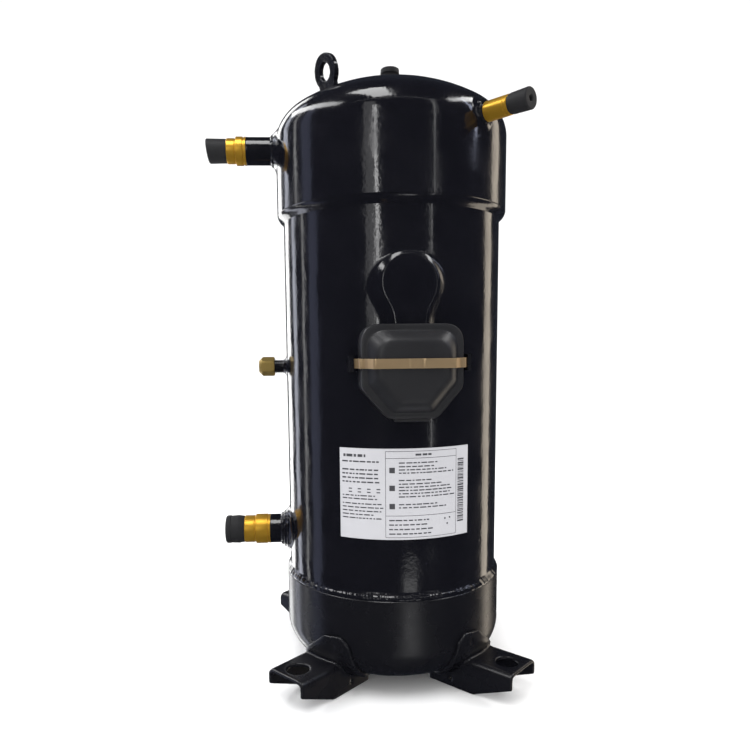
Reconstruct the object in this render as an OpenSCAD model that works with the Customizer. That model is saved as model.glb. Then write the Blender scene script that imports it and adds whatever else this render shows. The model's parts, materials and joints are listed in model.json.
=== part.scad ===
// Hermetic scroll compressor: welded steel can on four channel feet, with a brushless
// induction motor below and a fixed and an orbiting scroll above.
// Origin: centre of the foot-hole square, in the underside of the foot plates. +Z is up,
// and the terminal box faces -Y.

/* [Shell] */
// Outer diameter of the main shell tube
shell_od = 208; // [207:0.5:209]
// Wall of the main shell tube
shell_wall = 4; // [3.5:0.25:4.5]
// Wall of the upper cap, which slips over the shell
upper_cap_wall = 5.8; // [5:0.2:6.4]
// Wall of the lower cap, which slips over the shell
lower_cap_wall = 3.2; // [3:0.1:4]
// Height of the top of the dome above the foot plates
dome_top = 536; // [534:1:538]

/* [Feet] */
// Side of the square of mounting holes
foot_pitch = 190.5; // [188:0.5:192]
// Diameter of a mounting hole
foot_hole_d = 20; // [16:0.5:22]
// Thickness of the foot sheet
foot_sheet = 3.5; // [3:0.25:4]

/* [Terminal box] */
// Turn of the terminal box away from -Y, towards +X
terminal_turn = 2.5; // [0:0.5:4]
// Width of the terminal cover
cover_w = 86; // [84:1:88]
// Height of the terminal cover
cover_h = 79; // [77:1:81]

/* [Refrigerant stubs] */
// Outer diameter of the suction stub
suction_od = 25.4; // [24:0.2:27]
// Outer diameter of the equaliser stub
equaliser_od = 29; // [27:0.2:30]
// Outer diameter of the discharge stub
discharge_od = 15.9; // [14:0.1:16.4]

/* [Scrolls] */
// Orbit radius, the crank's eccentricity
orbit_r = 5; // [4.8:0.05:5]
// Thickness of a scroll wrap
wrap_t = 3.6; // [3.4:0.1:3.6]
// Number of half turns in each wrap
wrap_halves = 6; // [5:1:6]

/* [Hidden] */
$fn = 96;
eps = 0.02;
fit = 0.05;

// paint and metal colours
enamel = "#16171c";
satin_black = "#26262a";
rubber = "#3a3a3c";
gold = "#c9a227";
brass = "#a8975a";
strap_tan = "#b5a47c";
plastic = "#3b3b3e";
iron = "#6d6f73";
steel = "#9a9ca0";
copper = "#b8703a";
aluminium = "#b9bcc0";

// shell and caps
shell_r = shell_od / 2;
shell_ri = shell_r - shell_wall;
shell_z0 = 45;
shell_z1 = 440;
upper_r = shell_r + upper_cap_wall;
upper_z0 = 415;
upper_tangent_z = 483;
upper_knuckle = 30;
lower_r = shell_r + lower_cap_wall;
lower_z1 = 68;
lower_tangent_z = 20;
lower_knuckle = 34;
lower_bottom = -24;
upper_weld_drop = 7;
lower_weld_rise = 9;

// feet
foot_hole_r = foot_hole_d / 2;
foot_hole_radial = foot_pitch / sqrt(2);
foot_tip = 151.3;
foot_half_w = 22.5;
foot_bend = 6;
foot_tip_drop = 11;
foot_rest_z = -28;
foot_knee = 112;
foot_heel = 63;

// terminal box, in a frame turned so that it faces -Y
boss_rise = 9;
boss_face_y = shell_r + boss_rise;
boss_slope = 0.95;
pad_z = 268;
bulb_z = 342;
bulb_top_r = 19;
pad_top_r = 26;
neck_half_top = 12;
boss_depth = 26;
boss_lean = 0.1;
lean_z = 292;
cover_z = 270;
cover_rim_y = 119;
cover_front_y = 130;
cover_wall = 2.2;
cover_corner = 17;
cover_chamfer_x = 22;
cover_chamfer_z = 26;
cover_gap = 0.5;
fence_inset = 3.6;
strap_z = 277;
strap_w = 8;
strap_t = 1.2;
hook_t = 3.2;
hook_h = 14;
terminal_r = 21;

// stubs
suction_z = 478;
equaliser_z = 107.5;
discharge_z = 486;
discharge_az = -50;
service_z = 272.5;

// motor and pump levels
orbit_plate_z0 = 438;
orbit_plate_z1 = 448;
orbit_plate_r = 66;
orbit_hub_z = 417;
orbit_hub_r = 19;
bush_r = 14;
fixed_base_z = 490;
fixed_base_h = 15;
fixed_r = 98;
fixed_rim_h = 47;
key_r = 63.5;
key_w = 8;
ring_z = 430.5;
ring_h = 7;
wrap_gap = 0.2;
wrap_c = 4.5;
wrap_r0 = 9;
pocket_r = 73;
journal_r = 17.5;
shaft_r = 15;
lower_journal_r = 12.5;
crank_pin_r = 12;
stator_z0 = 125;
stator_z1 = 235;
rotor_r = 49.5;
weight_r = 44;
stator_bore_r = 50.2;
slot_count = 24;

// Dish radius that meets a knuckle k and rises h above the tangent line of a cap of radius rc
function dish_r(rc, k, h) = (pow(rc - k, 2) + h * h - k * k) / (2 * (h - k));

// Half outline of a dished cap, from the axis out: straight wall, knuckle and dish
module cap_outline(rc, k, h, straight) {
    a = rc - k;
    dish = dish_r(rc, k, h);
    lean = atan2(sqrt(pow(dish - k, 2) - a * a), a);
    reach = 3 * k;
    translate([0, -straight])
        square([rc, straight + eps / 10]);
    intersection() {
        translate([a, 0])
            circle(r = k);
        translate([a, 0])
            square([k, k]);
    }
    intersection() {
        translate([0, h - dish])
            circle(r = dish);
        polygon([[0, 0], [a, 0], [a + reach * cos(lean), reach * sin(lean)],
            [a, reach], [0, reach]]);
    }
}

// Solid of a dished cap that opens downward, grown outward by skin
module cap_solid(rc, k, h, straight, skin = 0) {
    rotate_extrude()
        cap_outline(rc + skin, k + skin, h + skin, straight);
}

// Solid bounded by the outside of the lower cap, grown outward by skin
module lower_cap_solid(skin = 0) {
    translate([0, 0, lower_tangent_z])
        mirror([0, 0, 1])
            cap_solid(lower_r, lower_knuckle, lower_tangent_z - lower_bottom,
                lower_z1 - lower_tangent_z, skin);
}

// Solid bounded by the outside of the upper cap, grown outward by skin
module upper_cap_solid(skin = 0) {
    translate([0, 0, upper_tangent_z])
        cap_solid(upper_r, upper_knuckle, dome_top - upper_tangent_z,
            upper_tangent_z - upper_z0, skin);
}

// Ring of height h between radii ri and ro
module ring(ro, ri, h) {
    difference() {
        cylinder(r = ro, h = h);
        translate([0, 0, -1])
            cylinder(r = ri, h = h + 2);
    }
}

// Points children's +Z outward from the axis, at azimuth az and height z
module outward(az, z) {
    rotate([0, 0, az])
        translate([0, 0, z])
            rotate([0, 90, 0])
                children();
}

// Turns a child drawn facing -Y to where the terminal box faces
module at_terminal() {
    rotate([0, 0, terminal_turn])
        children();
}

// Points a child's +Z towards -Y, starting at distance y in front of the axis
module forward(y, z) {
    translate([0, -y, z])
        rotate([90, 0, 0])
            children();
}

// ---- welded can ----

// Sloped round boss from r_base on the shell to r_top on its face, shrunk by wall t
module boss_cone(z, r_top, t) {
    shrink = t * (sqrt(1 + boss_slope * boss_slope) - boss_slope);
    forward(boss_face_y - t - boss_depth, z)
        cylinder(r1 = r_top - shrink + boss_slope * boss_depth, r2 = r_top - shrink,
            h = boss_depth);
}

// Sloped neck that joins the two round bosses, shrunk by wall t
module boss_neck(half_top, t) {
    shrink = t * (sqrt(1 + boss_slope * boss_slope) - boss_slope);
    y1 = -(boss_face_y - t);
    w1 = half_top - shrink;
    translate([0, 0, pad_z])
        linear_extrude(bulb_z - pad_z)
            polygon([[-w1, y1], [w1, y1], [w1 + boss_slope * boss_depth, y1 + boss_depth],
                [-w1 - boss_slope * boss_depth, y1 + boss_depth]]);
}

// The boss's face leans back into the shell above lean_z
module boss(t) {
    y1 = -(boss_face_y - t);
    top = bulb_z + 60;
    intersection() {
        union() {
            boss_cone(bulb_z, bulb_top_r, t);
            boss_cone(pad_z, pad_top_r, t);
            boss_neck(neck_half_top, t);
        }
        rotate([90, 0, 90])
            translate([0, 0, -60])
                linear_extrude(120)
                    polygon([[y1, pad_z - 60], [y1, lean_z],
                        [y1 + boss_lean * (top - lean_z), top], [0, top], [0, pad_z - 60]]);
    }
}

module main_shell() {
    color(enamel)
        difference() {
            union() {
                translate([0, 0, shell_z0])
                    cylinder(r = shell_r, h = shell_z1 - shell_z0);
                at_terminal()
                    boss(0);
            }
            translate([0, 0, shell_z0 - 1])
                cylinder(r = shell_ri, h = shell_z1 - shell_z0 + 2);
            at_terminal() {
                boss(3);
                forward(shell_ri - 10, pad_z)
                    cylinder(r = terminal_r, h = 40);
            }
            outward(180, equaliser_z)
                cylinder(d = equaliser_od, h = shell_r + 5);
            outward(180, service_z)
                cylinder(r = service_root_r, h = shell_r + 5);
        }
}

module upper_cap() {
    color(enamel)
        difference() {
            upper_cap_solid();
            translate([0, 0, upper_tangent_z])
                cap_solid(shell_r, upper_knuckle - upper_cap_wall,
                    dome_top - upper_tangent_z - upper_cap_wall, 80);
            outward(180, suction_z)
                cylinder(d = suction_od, h = upper_r + 10);
            outward(discharge_az, discharge_z)
                cylinder(d = discharge_od, h = upper_r + 10);
            cylinder(r = well_r, h = dome_top + 10);
        }
}

module lower_cap() {
    color(satin_black)
        difference() {
            lower_cap_solid();
            translate([0, 0, lower_tangent_z])
                mirror([0, 0, 1])
                    cap_solid(shell_r, lower_knuckle - lower_cap_wall,
                        lower_tangent_z - lower_bottom - lower_cap_wall, 60);
        }
}

module upper_weld() {
    color(enamel)
        rotate_extrude()
            polygon([[shell_r, upper_z0], [upper_r, upper_z0],
                [upper_r - 1.5, upper_z0 - 2.5], [shell_r, upper_z0 - upper_weld_drop]]);
}

module lower_weld() {
    color(enamel)
        rotate_extrude()
            polygon([[shell_r, lower_z1], [lower_r, lower_z1],
                [lower_r - 0.4, lower_z1 + 3.5], [shell_r, lower_z1 + lower_weld_rise]]);
}

// ---- feet ----

// Cross-section of the inverted channel
module channel_section(grow) {
    w = foot_half_w + grow;
    b = foot_bend + grow;
    top = foot_sheet + grow;
    translate([-w + b, top - b])
        square([2 * (w - b), b]);
    translate([-w, foot_rest_z - 5])
        square([2 * w, top - b - foot_rest_z + 5]);
    for (s = [-1, 1])
        translate([s * (w - b), top - b])
            circle(r = b);
}

// One foot along +X. side is 1 where the saddle's peak leans to +Y, and -1 for its mirror
module foot_along_x(side) {
    mirror([0, side > 0 ? 0 : 1, 0])
        difference() {
            union() {
                intersection() {
                    rotate([90, 0, 90])
                        linear_extrude(foot_tip)
                            difference() {
                                channel_section(0);
                                channel_section(-foot_sheet);
                            }
                    translate([0, 60, 0])
                        rotate([90, 0, 0])
                            linear_extrude(120)
                                polygon([[foot_heel, foot_rest_z], [foot_knee, foot_rest_z],
                                    [foot_tip, -foot_tip_drop], [foot_tip, foot_sheet],
                                    [foot_heel, foot_sheet]]);
                }
                intersection() {
                    lower_cap_solid(foot_sheet);
                    rotate([90, 0, 90])
                        linear_extrude(foot_tip)
                            polygon([[-foot_half_w, -6], [-foot_half_w, 5], [8, 29], [26, 31],
                                [34, 23], [38, 8], [foot_half_w + 16, -10],
                                [foot_half_w + 6, -18], [foot_half_w, -18], [10, 0]]);
                }
            }
            lower_cap_solid();
            translate([foot_hole_radial, 0, -1])
                cylinder(r = foot_hole_r, h = foot_sheet + 2);
            translate([88, foot_half_w + 1, -20])
                rotate([90, 0, 0])
                    cylinder(r = 1.6, h = foot_sheet + 2);
        }
}

module foot(az, side) {
    color(satin_black)
        rotate([0, 0, az])
            foot_along_x(side);
}

module foot_front_left() {
    foot(225, 1);
}

module foot_front_right() {
    foot(315, -1);
}

module foot_back_left() {
    foot(135, -1);
}

module foot_back_right() {
    foot(45, 1);
}

// ---- top of the can ----

lug_az = 215;
lug_r = 74.7;
lug_z = 534;
lug_lean = 11;
lug_t = 5;
lug_ro = 15;
lug_hole_r = 7.5;
lug_root = 24;
lug_root_half = 11;

module lifting_lug() {
    color(enamel)
        difference() {
            rotate([0, 0, lug_az])
                translate([lug_r, 0, lug_z])
                    rotate([0, 90 + lug_lean, 0])
                        translate([0, 0, -lug_t / 2])
                            difference() {
                                union() {
                                    cylinder(r = lug_ro, h = lug_t);
                                    translate([0, -lug_root_half, 0])
                                        cube([lug_root, 2 * lug_root_half, lug_t]);
                                }
                                translate([0, 0, -1])
                                    cylinder(r = lug_hole_r, h = lug_t + 2);
                            }
            upper_cap_solid();
        }
}

well_r = 7;
well_bore_r = 5.5;
well_rise = 6;
well_depth = 16;

module sensor_well() {
    color(enamel)
        difference() {
            translate([0, 0, dome_top - well_depth])
                cylinder(r = well_r, h = well_depth + well_rise);
            translate([0, 0, dome_top - well_depth + 2])
                cylinder(r = well_bore_r, h = well_depth + well_rise);
        }
}

module sensor_well_plug() {
    color(rubber) {
        translate([0, 0, dome_top + well_rise])
            cylinder(r = 9, h = 12);
        translate([0, 0, dome_top - 8])
            cylinder(r = well_bore_r - 0.1, h = 8 + well_rise + eps);
    }
}

// ---- refrigerant stubs, drawn along +Z and turned outward ----

// Black stub tube with a weld collar that flares to collar_r against the can
module stub(r, ri, start, end, collar_r, collar_end) {
    difference() {
        union() {
            translate([0, 0, start])
                cylinder(r = r, h = end - start);
            translate([0, 0, collar_end - collar_h])
                cylinder(r1 = collar_r, r2 = r + 2, h = collar_h);
            translate([0, 0, collar_end - 2.2 * collar_h])
                cylinder(r = collar_r, h = 1.2 * collar_h + eps);
        }
        translate([0, 0, start - 1])
            cylinder(r = ri, h = end - start + 2);
        translate([0, 0, start - 40])
            cylinder(r = collar_r + 2, h = 40);
    }
}

// Turned sleeve that seats in the end of a stub: wide part, then a narrower part
module sleeve(r_wide, r_narrow, ri, spigot_r, start, step, end) {
    difference() {
        union() {
            translate([0, 0, start])
                cylinder(r = r_wide, h = step - start);
            translate([0, 0, step - eps])
                cylinder(r = r_narrow, h = end - step + eps);
            translate([0, 0, start - spigot_len])
                cylinder(r = spigot_r, h = spigot_len + eps);
        }
        translate([0, 0, start - spigot_len - 1])
            cylinder(r = ri, h = end - start + spigot_len + 2);
    }
}

// Rubber transit plug: tapered head and a spigot in the sleeve
module transit_plug(r_base, r_head, spigot_r, start, end) {
    translate([0, 0, start])
        cylinder(r1 = r_base, r2 = r_head, h = end - start);
    translate([0, 0, start - plug_len])
        cylinder(r = spigot_r, h = plug_len + eps);
}

collar_h = 8;
spigot_len = 10;
plug_len = 12;
suction_r = suction_od / 2;
suction_bore = suction_r - 1.8;
suction_root = 100;
suction_sleeve_start = 138;
suction_sleeve_step = 148;
suction_sleeve_end = 156.5;
suction_plug_end = 176.5;

module suction_stub() {
    color(enamel)
        difference() {
            outward(180, suction_z)
                stub(suction_r, suction_bore, suction_root, suction_sleeve_start, 23, 114);
            difference() {
                upper_cap_solid();
                outward(180, suction_z)
                    translate([0, 0, suction_root])
                        cylinder(r = suction_r, h = 40);
            }
        }
}

module suction_sleeve() {
    color(gold)
        outward(180, suction_z)
            sleeve(suction_r + 0.4, suction_r - 1.2, suction_r - 3.4, suction_bore - 0.1,
                suction_sleeve_start, suction_sleeve_step, suction_sleeve_end);
}

module suction_plug() {
    color(rubber)
        outward(180, suction_z)
            transit_plug(suction_r - 1.7, suction_r - 1.5, suction_r - 3.5,
                suction_sleeve_end, suction_plug_end);
}

equaliser_r = equaliser_od / 2;
equaliser_bore = equaliser_r - 1.8;
equaliser_root = 97;
equaliser_sleeve_start = 124;
equaliser_sleeve_step = 139;
equaliser_sleeve_end = 150;
equaliser_plug_end = 169;

module equaliser_stub() {
    color(enamel)
        difference() {
            outward(180, equaliser_z)
                stub(equaliser_r, equaliser_bore, equaliser_root, equaliser_sleeve_start, 25, 112);
            difference() {
                translate([0, 0, shell_z0])
                    cylinder(r = shell_r, h = shell_z1 - shell_z0);
                outward(180, equaliser_z)
                    translate([0, 0, equaliser_root])
                        cylinder(r = equaliser_r, h = 30);
            }
        }
}

module equaliser_sleeve() {
    color(gold)
        outward(180, equaliser_z)
            sleeve(equaliser_r + 0.4, equaliser_r - 1, equaliser_r - 3.4, equaliser_bore - 0.1,
                equaliser_sleeve_start, equaliser_sleeve_step, equaliser_sleeve_end);
}

module equaliser_plug() {
    color(rubber)
        outward(180, equaliser_z)
            transit_plug(equaliser_r - 1.2, equaliser_r - 0.4, equaliser_r - 3.5,
                equaliser_sleeve_end, equaliser_plug_end);
}

discharge_r = discharge_od / 2;
discharge_bore = discharge_r - 1.2;
discharge_root = 99;
discharge_sleeve_start = 114;
discharge_sleeve_step = 133;
discharge_sleeve_end = 136.5;
discharge_plug_end = 155.5;
drive_recess = 4;

module discharge_stub() {
    color(enamel)
        difference() {
            outward(discharge_az, discharge_z)
                stub(discharge_r, discharge_bore, discharge_root, discharge_sleeve_start, 13, 112);
            difference() {
                upper_cap_solid();
                outward(discharge_az, discharge_z)
                    translate([0, 0, discharge_root])
                        cylinder(r = discharge_r, h = 40);
            }
        }
}

module discharge_sleeve() {
    color(gold)
        outward(discharge_az, discharge_z)
            sleeve(discharge_r + 0.3, discharge_r + 0.1, discharge_r - 2.4,
                discharge_bore - 0.1, discharge_sleeve_start, discharge_sleeve_step,
                discharge_sleeve_end);
}

module discharge_plug() {
    color(rubber)
        outward(discharge_az, discharge_z)
            difference() {
                transit_plug(discharge_r - 0.2, discharge_r + 0.8, discharge_r - 2.5,
                    discharge_sleeve_end, discharge_plug_end);
                translate([-drive_recess / 2, -drive_recess / 2, discharge_plug_end - 8])
                    cube([drive_recess, drive_recess, 10]);
            }
}

// ---- service fitting, drawn along +Z and turned to -X ----

service_neck_r = 5.9;
service_neck_end = 126.3;
service_cap_start = 116;
service_cap_end = 131.3;
service_cap_r = 9.6;
service_root_r = 3;
service_seat = 114.3;
service_bore_r = 2;
core_r = 3.2;
core_h = 9;
pin_head_h = 1.5;
seal_r = 5.8;
seal_h = 1.2;

module service_fitting() {
    color(enamel)
        outward(180, service_z)
            difference() {
                union() {
                    translate([0, 0, shell_r - 1])
                        cylinder(r1 = 12, r2 = 7.5, h = 6);
                    translate([0, 0, shell_ri + 1])
                        cylinder(r = service_root_r, h = 10);
                    translate([0, 0, shell_r + 2])
                        cylinder(r = service_neck_r, h = service_neck_end - shell_r - 2);
                }
                translate([0, 0, 90])
                    cylinder(r = service_bore_r, h = 30);
                translate([0, 0, service_seat])
                    cylinder(r = core_r, h = 20);
                difference() {
                    rotate([0, -90, 0])
                        translate([0, 0, -30])
                            cylinder(r = shell_r, h = 60);
                    translate([0, 0, 90])
                        cylinder(r = service_root_r, h = 20);
                }
            }
}

module service_valve_core() {
    color(brass)
        outward(180, service_z)
            translate([0, 0, service_seat])
                ring(core_r, 1.1, core_h);
}

module service_valve_pin() {
    color(steel)
        outward(180, service_z) {
            translate([0, 0, service_seat - 2])
                cylinder(r = 1, h = core_h + 4.2);
            translate([0, 0, service_seat - 2 - pin_head_h])
                cylinder(r = 1.6, h = pin_head_h + eps);
        }
}

module cap_seal() {
    color(rubber)
        outward(180, service_z)
            translate([0, 0, service_neck_end + fit])
                cylinder(r = seal_r, h = seal_h);
}

module service_cap() {
    color(brass)
        outward(180, service_z)
            difference() {
                intersection() {
                    translate([0, 0, service_cap_start])
                        cylinder(r = service_cap_r, h = service_cap_end - service_cap_start,
                            $fn = 6);
                    translate([0, 0, service_cap_start - 1.5])
                        cylinder(r1 = 7, r2 = 26, h = 19);
                    translate([0, 0, service_cap_end - 19])
                        cylinder(r1 = 27.4, r2 = 8.4, h = 19);
                }
                translate([0, 0, service_cap_start - 1])
                    cylinder(r = service_neck_r + 0.1,
                        h = service_neck_end + seal_h + 1.1 - service_cap_start);
            }
}

// ---- terminal box, drawn facing -Y ----

// Front outline of the cover, in X and Z about its centre, inset on every side
module cover_outline(inset, corner) {
    w = cover_w / 2 - inset;
    h = cover_h / 2 - inset;
    cut_x = cover_chamfer_x - 0.3 * inset;
    cut_z = cover_chamfer_z - 0.3 * inset;
    c = max(corner - inset, 2);
    difference() {
        polygon([[-w + cut_x, -h], [w - cut_x, -h], [w, -h + cut_z], [w, h], [-w, h],
            [-w, -h + cut_z]]);
        for (s = [-1, 1])
            difference() {
                translate([s * (w - c / 2 + 1), h - c / 2 + 1])
                    square(c + 2, center = true);
                translate([s * (w - c), h - c])
                    circle(r = c);
                translate([s * (w - c) - 20, h - c - 20])
                    square([40, 20]);
                translate([s * (w - c) - (s > 0 ? 20 : 0), h - c - 20])
                    square([20, 40]);
            }
    }
}

// Extrudes an outline in X and Z from y0 to y1 in front of the axis, around the cover's centre
module cover_slab(y0, y1, inset, corner = cover_corner) {
    forward(y0, cover_z)
        linear_extrude(y1 - y0)
            cover_outline(inset, corner);
}

// The raised front panel: a slope from the rim to a flat face
module cover_bulge(shrink) {
    hull() {
        cover_slab(cover_rim_y - 1 - shrink, cover_rim_y - shrink, 6 + shrink, 16);
        cover_slab(cover_front_y - 1 - shrink, cover_front_y - shrink, 14 + shrink, 18);
    }
}

module terminal_cover() {
    color(plastic)
        at_terminal()
            difference() {
                union() {
                    cover_slab(shell_ri - 4, cover_rim_y, 0);
                    cover_bulge(0);
                    forward(108, cover_z - cover_h / 2 - 1.5)
                        translate([-14.5, -1.5, 0])
                            cube([29, 4, 9]);
                }
                cover_slab(shell_ri - 6, cover_rim_y - cover_wall, cover_wall);
                cover_bulge(cover_wall);
                translate([0, 0, cover_z - cover_h])
                    cylinder(r = shell_r + cover_gap, h = 2 * cover_h);
                boss_clearance();
            }
}

// Space around the sloped boss that the cover and the fence keep clear
module boss_clearance() {
    translate([0, -cover_gap, 0])
        boss(-cover_gap);
}

module terminal_fence() {
    color(satin_black)
        at_terminal()
            difference() {
                cover_slab(shell_ri, cover_rim_y - cover_wall - 2, fence_inset);
                cover_slab(shell_ri - 2, cover_front_y, fence_inset + 1.6);
                cylinder(r = shell_r, h = 400);
                boss(0);
            }
}

module terminal_gasket() {
    color(rubber)
        at_terminal()
            difference() {
                cover_slab(cover_rim_y - cover_wall - 2, cover_rim_y - cover_wall - 0.3,
                    fence_inset - 0.8);
                cover_slab(cover_rim_y - cover_wall - 4, cover_front_y, fence_inset + 4);
            }
}

pin_ring_r = 9;
pin_r = 1.6;
glass_r = 4;

// Places a child on each of the three terminal pins
module at_pins() {
    for (k = [0:2])
        rotate([0, 0, 90 + 120 * k])
            translate([pin_ring_r, 0, 0])
                children();
}

module hermetic_terminal() {
    color(steel)
        at_terminal()
            forward(boss_face_y - 9, pad_z)
                difference() {
                    union() {
                        cylinder(r = terminal_r, h = 9);
                        translate([0, 0, 9])
                            cylinder(r = terminal_r + 2.5, h = 1.6);
                    }
                    translate([0, 0, -1])
                        cylinder(r = terminal_r - 2, h = 9);
                    at_pins()
                        cylinder(r = glass_r, h = 20);
                }
}

module terminal_glass_seals() {
    color("#5f7d78")
        at_terminal()
            forward(boss_face_y - 1, pad_z)
                at_pins()
                    ring(glass_r, pin_r, 3.4);
}

module terminal_pins() {
    color(copper)
        at_terminal()
            forward(boss_face_y - 18, pad_z)
                at_pins() {
                    cylinder(r = pin_r, h = 25);
                    translate([-0.4, -3, 23])
                        cube([0.8, 6, 8]);
                }
}

// Half of the strap's bent line, from its middle out, as points in X and distance forward
strap_end_x = 47.5;
strap_line = [[0, cover_front_y + 0.3], [33, cover_front_y + 0.3], [36.5, cover_rim_y + 3],
    [39.5, cover_rim_y + 0.3], [cover_w / 2 + 0.6, cover_rim_y + 0.3],
    [cover_w / 2 + 0.6, cover_rim_y - 9], [strap_end_x - 1.2, cover_rim_y - 11],
    [strap_end_x, cover_rim_y - 11]];
strap_back = [[strap_end_x, cover_rim_y - 11 + strap_t],
    [strap_end_x - 2, cover_rim_y - 9 + strap_t],
    [cover_w / 2 + 0.6 + strap_t, cover_rim_y + 0.3 + strap_t],
    [40, cover_rim_y + 0.3 + strap_t], [37.5, cover_rim_y + 3.6],
    [33.8, cover_front_y + 0.3 + strap_t], [0, cover_front_y + 0.3 + strap_t]];

module strap_half() {
    rotate([0, 0, 180])
        mirror([1, 0, 0])
            translate([0, 0, strap_z - strap_w / 2])
                linear_extrude(strap_w)
                    polygon(concat(strap_line, strap_back));
}

module cover_strap() {
    color(strap_tan)
        at_terminal()
            difference() {
                union() {
                    strap_half();
                    mirror([1, 0, 0])
                        strap_half();
                }
                translate([-4.5, -cover_front_y - 2 * strap_t - 0.1, strap_z - strap_w])
                    cube([13, strap_t + 0.4, 2 * strap_w]);
            }
}

module strap_hooks() {
    color(satin_black)
        at_terminal()
            difference() {
                for (s = [-1, 1])
                    translate([s * (strap_end_x + 2.3) - hook_t / 2, -cover_rim_y + 7.5,
                        strap_z - hook_h / 2])
                        cube([hook_t, 30, hook_h]);
                cylinder(r = shell_r, h = 400);
            }
}

label_az = -88.7;
label_arc = 66.5;
label_z0 = 123;
label_h = 80.5;
label_t = 0.3;

module name_label() {
    color("#e9e9e9")
        rotate([0, 0, label_az - label_arc / 2])
            translate([0, 0, label_z0])
                rotate_extrude(angle = label_arc)
                    translate([shell_r, 0])
                        square([label_t, label_h]);
}

// ---- pump ----

// Wrap of half rings whose centres swap sides, so each half turn is half a pitch wider
module wrap(z0, z1) {
    for (i = [0:wrap_halves - 1])
        translate([(i % 2 == 0 ? -1 : 1) * wrap_c, 0, z0])
            rotate([0, 0, 180 * (i % 2)])
                rotate_extrude(angle = 180)
                    translate([wrap_r0 * (i + 1) - wrap_t / 2, 0])
                        square([wrap_t, z1 - z0]);
}

scroll_bolt_r = 92.5;
scroll_bolt_count = 6;

// Places a child on each scroll bolt, clear of the two gas ports
module at_scroll_bolts() {
    for (k = [0:scroll_bolt_count - 1])
        rotate([0, 0, 360 * (k + 0.5) / scroll_bolt_count])
            translate([scroll_bolt_r, 0, 0])
                children();
}

module fixed_scroll() {
    color(iron)
        difference() {
            union() {
                difference() {
                    union() {
                        translate([0, 0, shell_z1])
                            cylinder(r = fixed_r, h = fixed_rim_h);
                        translate([0, 0, fixed_base_z - 4])
                            cylinder(r = 85, h = fixed_base_h + 4);
                    }
                    translate([0, 0, shell_z1 - 1])
                        cylinder(r = pocket_r, h = fixed_base_z - shell_z1 + 1);
                }
                wrap(orbit_plate_z1 + wrap_gap, fixed_base_z + 1);
            }
            translate([0, 0, fixed_base_z - 1])
                cylinder(r = 5, h = 20);
            outward(180, suction_z)
                translate([0, 0, pocket_r - 5])
                    cylinder(r = 8, h = 40);
            at_scroll_bolts()
                translate([0, 0, shell_z1 - 1])
                    cylinder(r = 3.3, h = 60);
        }
}

module orbiting_scroll() {
    color(aluminium)
        translate([orbit_r, 0, 0])
            difference() {
                union() {
                    translate([0, 0, orbit_plate_z0 + 0.1])
                        cylinder(r = orbit_plate_r, h = orbit_plate_z1 - orbit_plate_z0 - 0.1);
                    rotate([0, 0, 180])
                        wrap(orbit_plate_z1 - 1, fixed_base_z - wrap_gap);
                    translate([0, 0, orbit_hub_z])
                        cylinder(r = orbit_hub_r, h = orbit_plate_z0 - orbit_hub_z + 1);
                }
                translate([0, 0, orbit_hub_z - 1])
                    cylinder(r = bush_r, h = orbit_plate_z0 - orbit_hub_z);
                for (s = [-1, 1])
                    translate([s * key_r - 8, -key_w / 2 - 0.2, orbit_plate_z0 - 1])
                        cube([16, key_w + 0.4, 6]);
            }
}

module oldham_ring() {
    color(aluminium)
        translate([orbit_r, 0, 0]) {
            translate([0, 0, ring_z])
                ring(key_r + 3, key_r - 3, ring_h);
            for (s = [-1, 1]) {
                translate([s * key_r - 3, -key_w / 2, ring_z])
                    cube([6, key_w, 12]);
                translate([-key_w / 2, s * key_r - 3, ring_z - 5.5])
                    cube([key_w, 6, 12]);
            }
        }
}

module main_frame() {
    color(iron)
        difference() {
            rotate_extrude()
                polygon([[20, 340], [30, 340], [34, 372], [60, 395], [shell_ri, 395],
                    [shell_ri, shell_z1], [pocket_r + 0.5, shell_z1], [pocket_r + 0.5, 429],
                    [54, 429], [54, orbit_plate_z0], [31, orbit_plate_z0], [31, 414],
                    [20, 414]]);
            for (s = [-1, 1])
                translate([-key_w / 2 - orbit_r - 0.6, s * key_r - 9.4, ring_z - 7])
                    cube([key_w + 2 * orbit_r + 1.2, 18.8, 10]);
            at_scroll_bolts()
                translate([0, 0, 420])
                    cylinder(r = 3.3, h = 60);
            for (az = [60, 120])
                rotate([0, 0, az])
                    translate([85, 0, 380])
                        cylinder(r = 6, h = 70);
        }
}

module main_bearing() {
    color(brass)
        translate([0, 0, 340])
            ring(20, journal_r + fit, 60);
}

module drive_bush() {
    color(brass)
        translate([orbit_r, 0, orbit_hub_z])
            ring(bush_r, crank_pin_r + fit, 19);
}

module crankshaft() {
    color(steel)
        difference() {
            union() {
                translate([0, 0, 62])
                    cylinder(r = lower_journal_r, h = 32);
                translate([0, 0, 93])
                    cylinder(r = shaft_r, h = 247);
                translate([0, 0, 339])
                    cylinder(r = journal_r, h = 74);
                translate([orbit_r, 0, 412])
                    cylinder(r = crank_pin_r, h = 24);
            }
            translate([orbit_r / 2, 0, 61])
                cylinder(r = 2.5, h = 380);
            translate([0, 0, 61])
                cylinder(r = 6, h = 16);
        }
}

// Half-round balance weight with a collar that grips the shaft
module balance_weight(z, h, ro, side) {
    translate([0, 0, z]) {
        difference() {
            cylinder(r = ro, h = h);
            translate([0, 0, -1])
                cylinder(r = shaft_r, h = h + 2);
            translate([side > 0 ? -2 * ro : 0, -2 * ro, -1])
                cube([2 * ro, 4 * ro, h + 2]);
        }
        ring(shaft_r + 6, shaft_r, h);
    }
}

module upper_counterweight() {
    color(brass)
        balance_weight(290, 26, weight_r, -1);
}

module lower_counterweight() {
    color(brass)
        balance_weight(99, 15.5, weight_r, 1);
}

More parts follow.
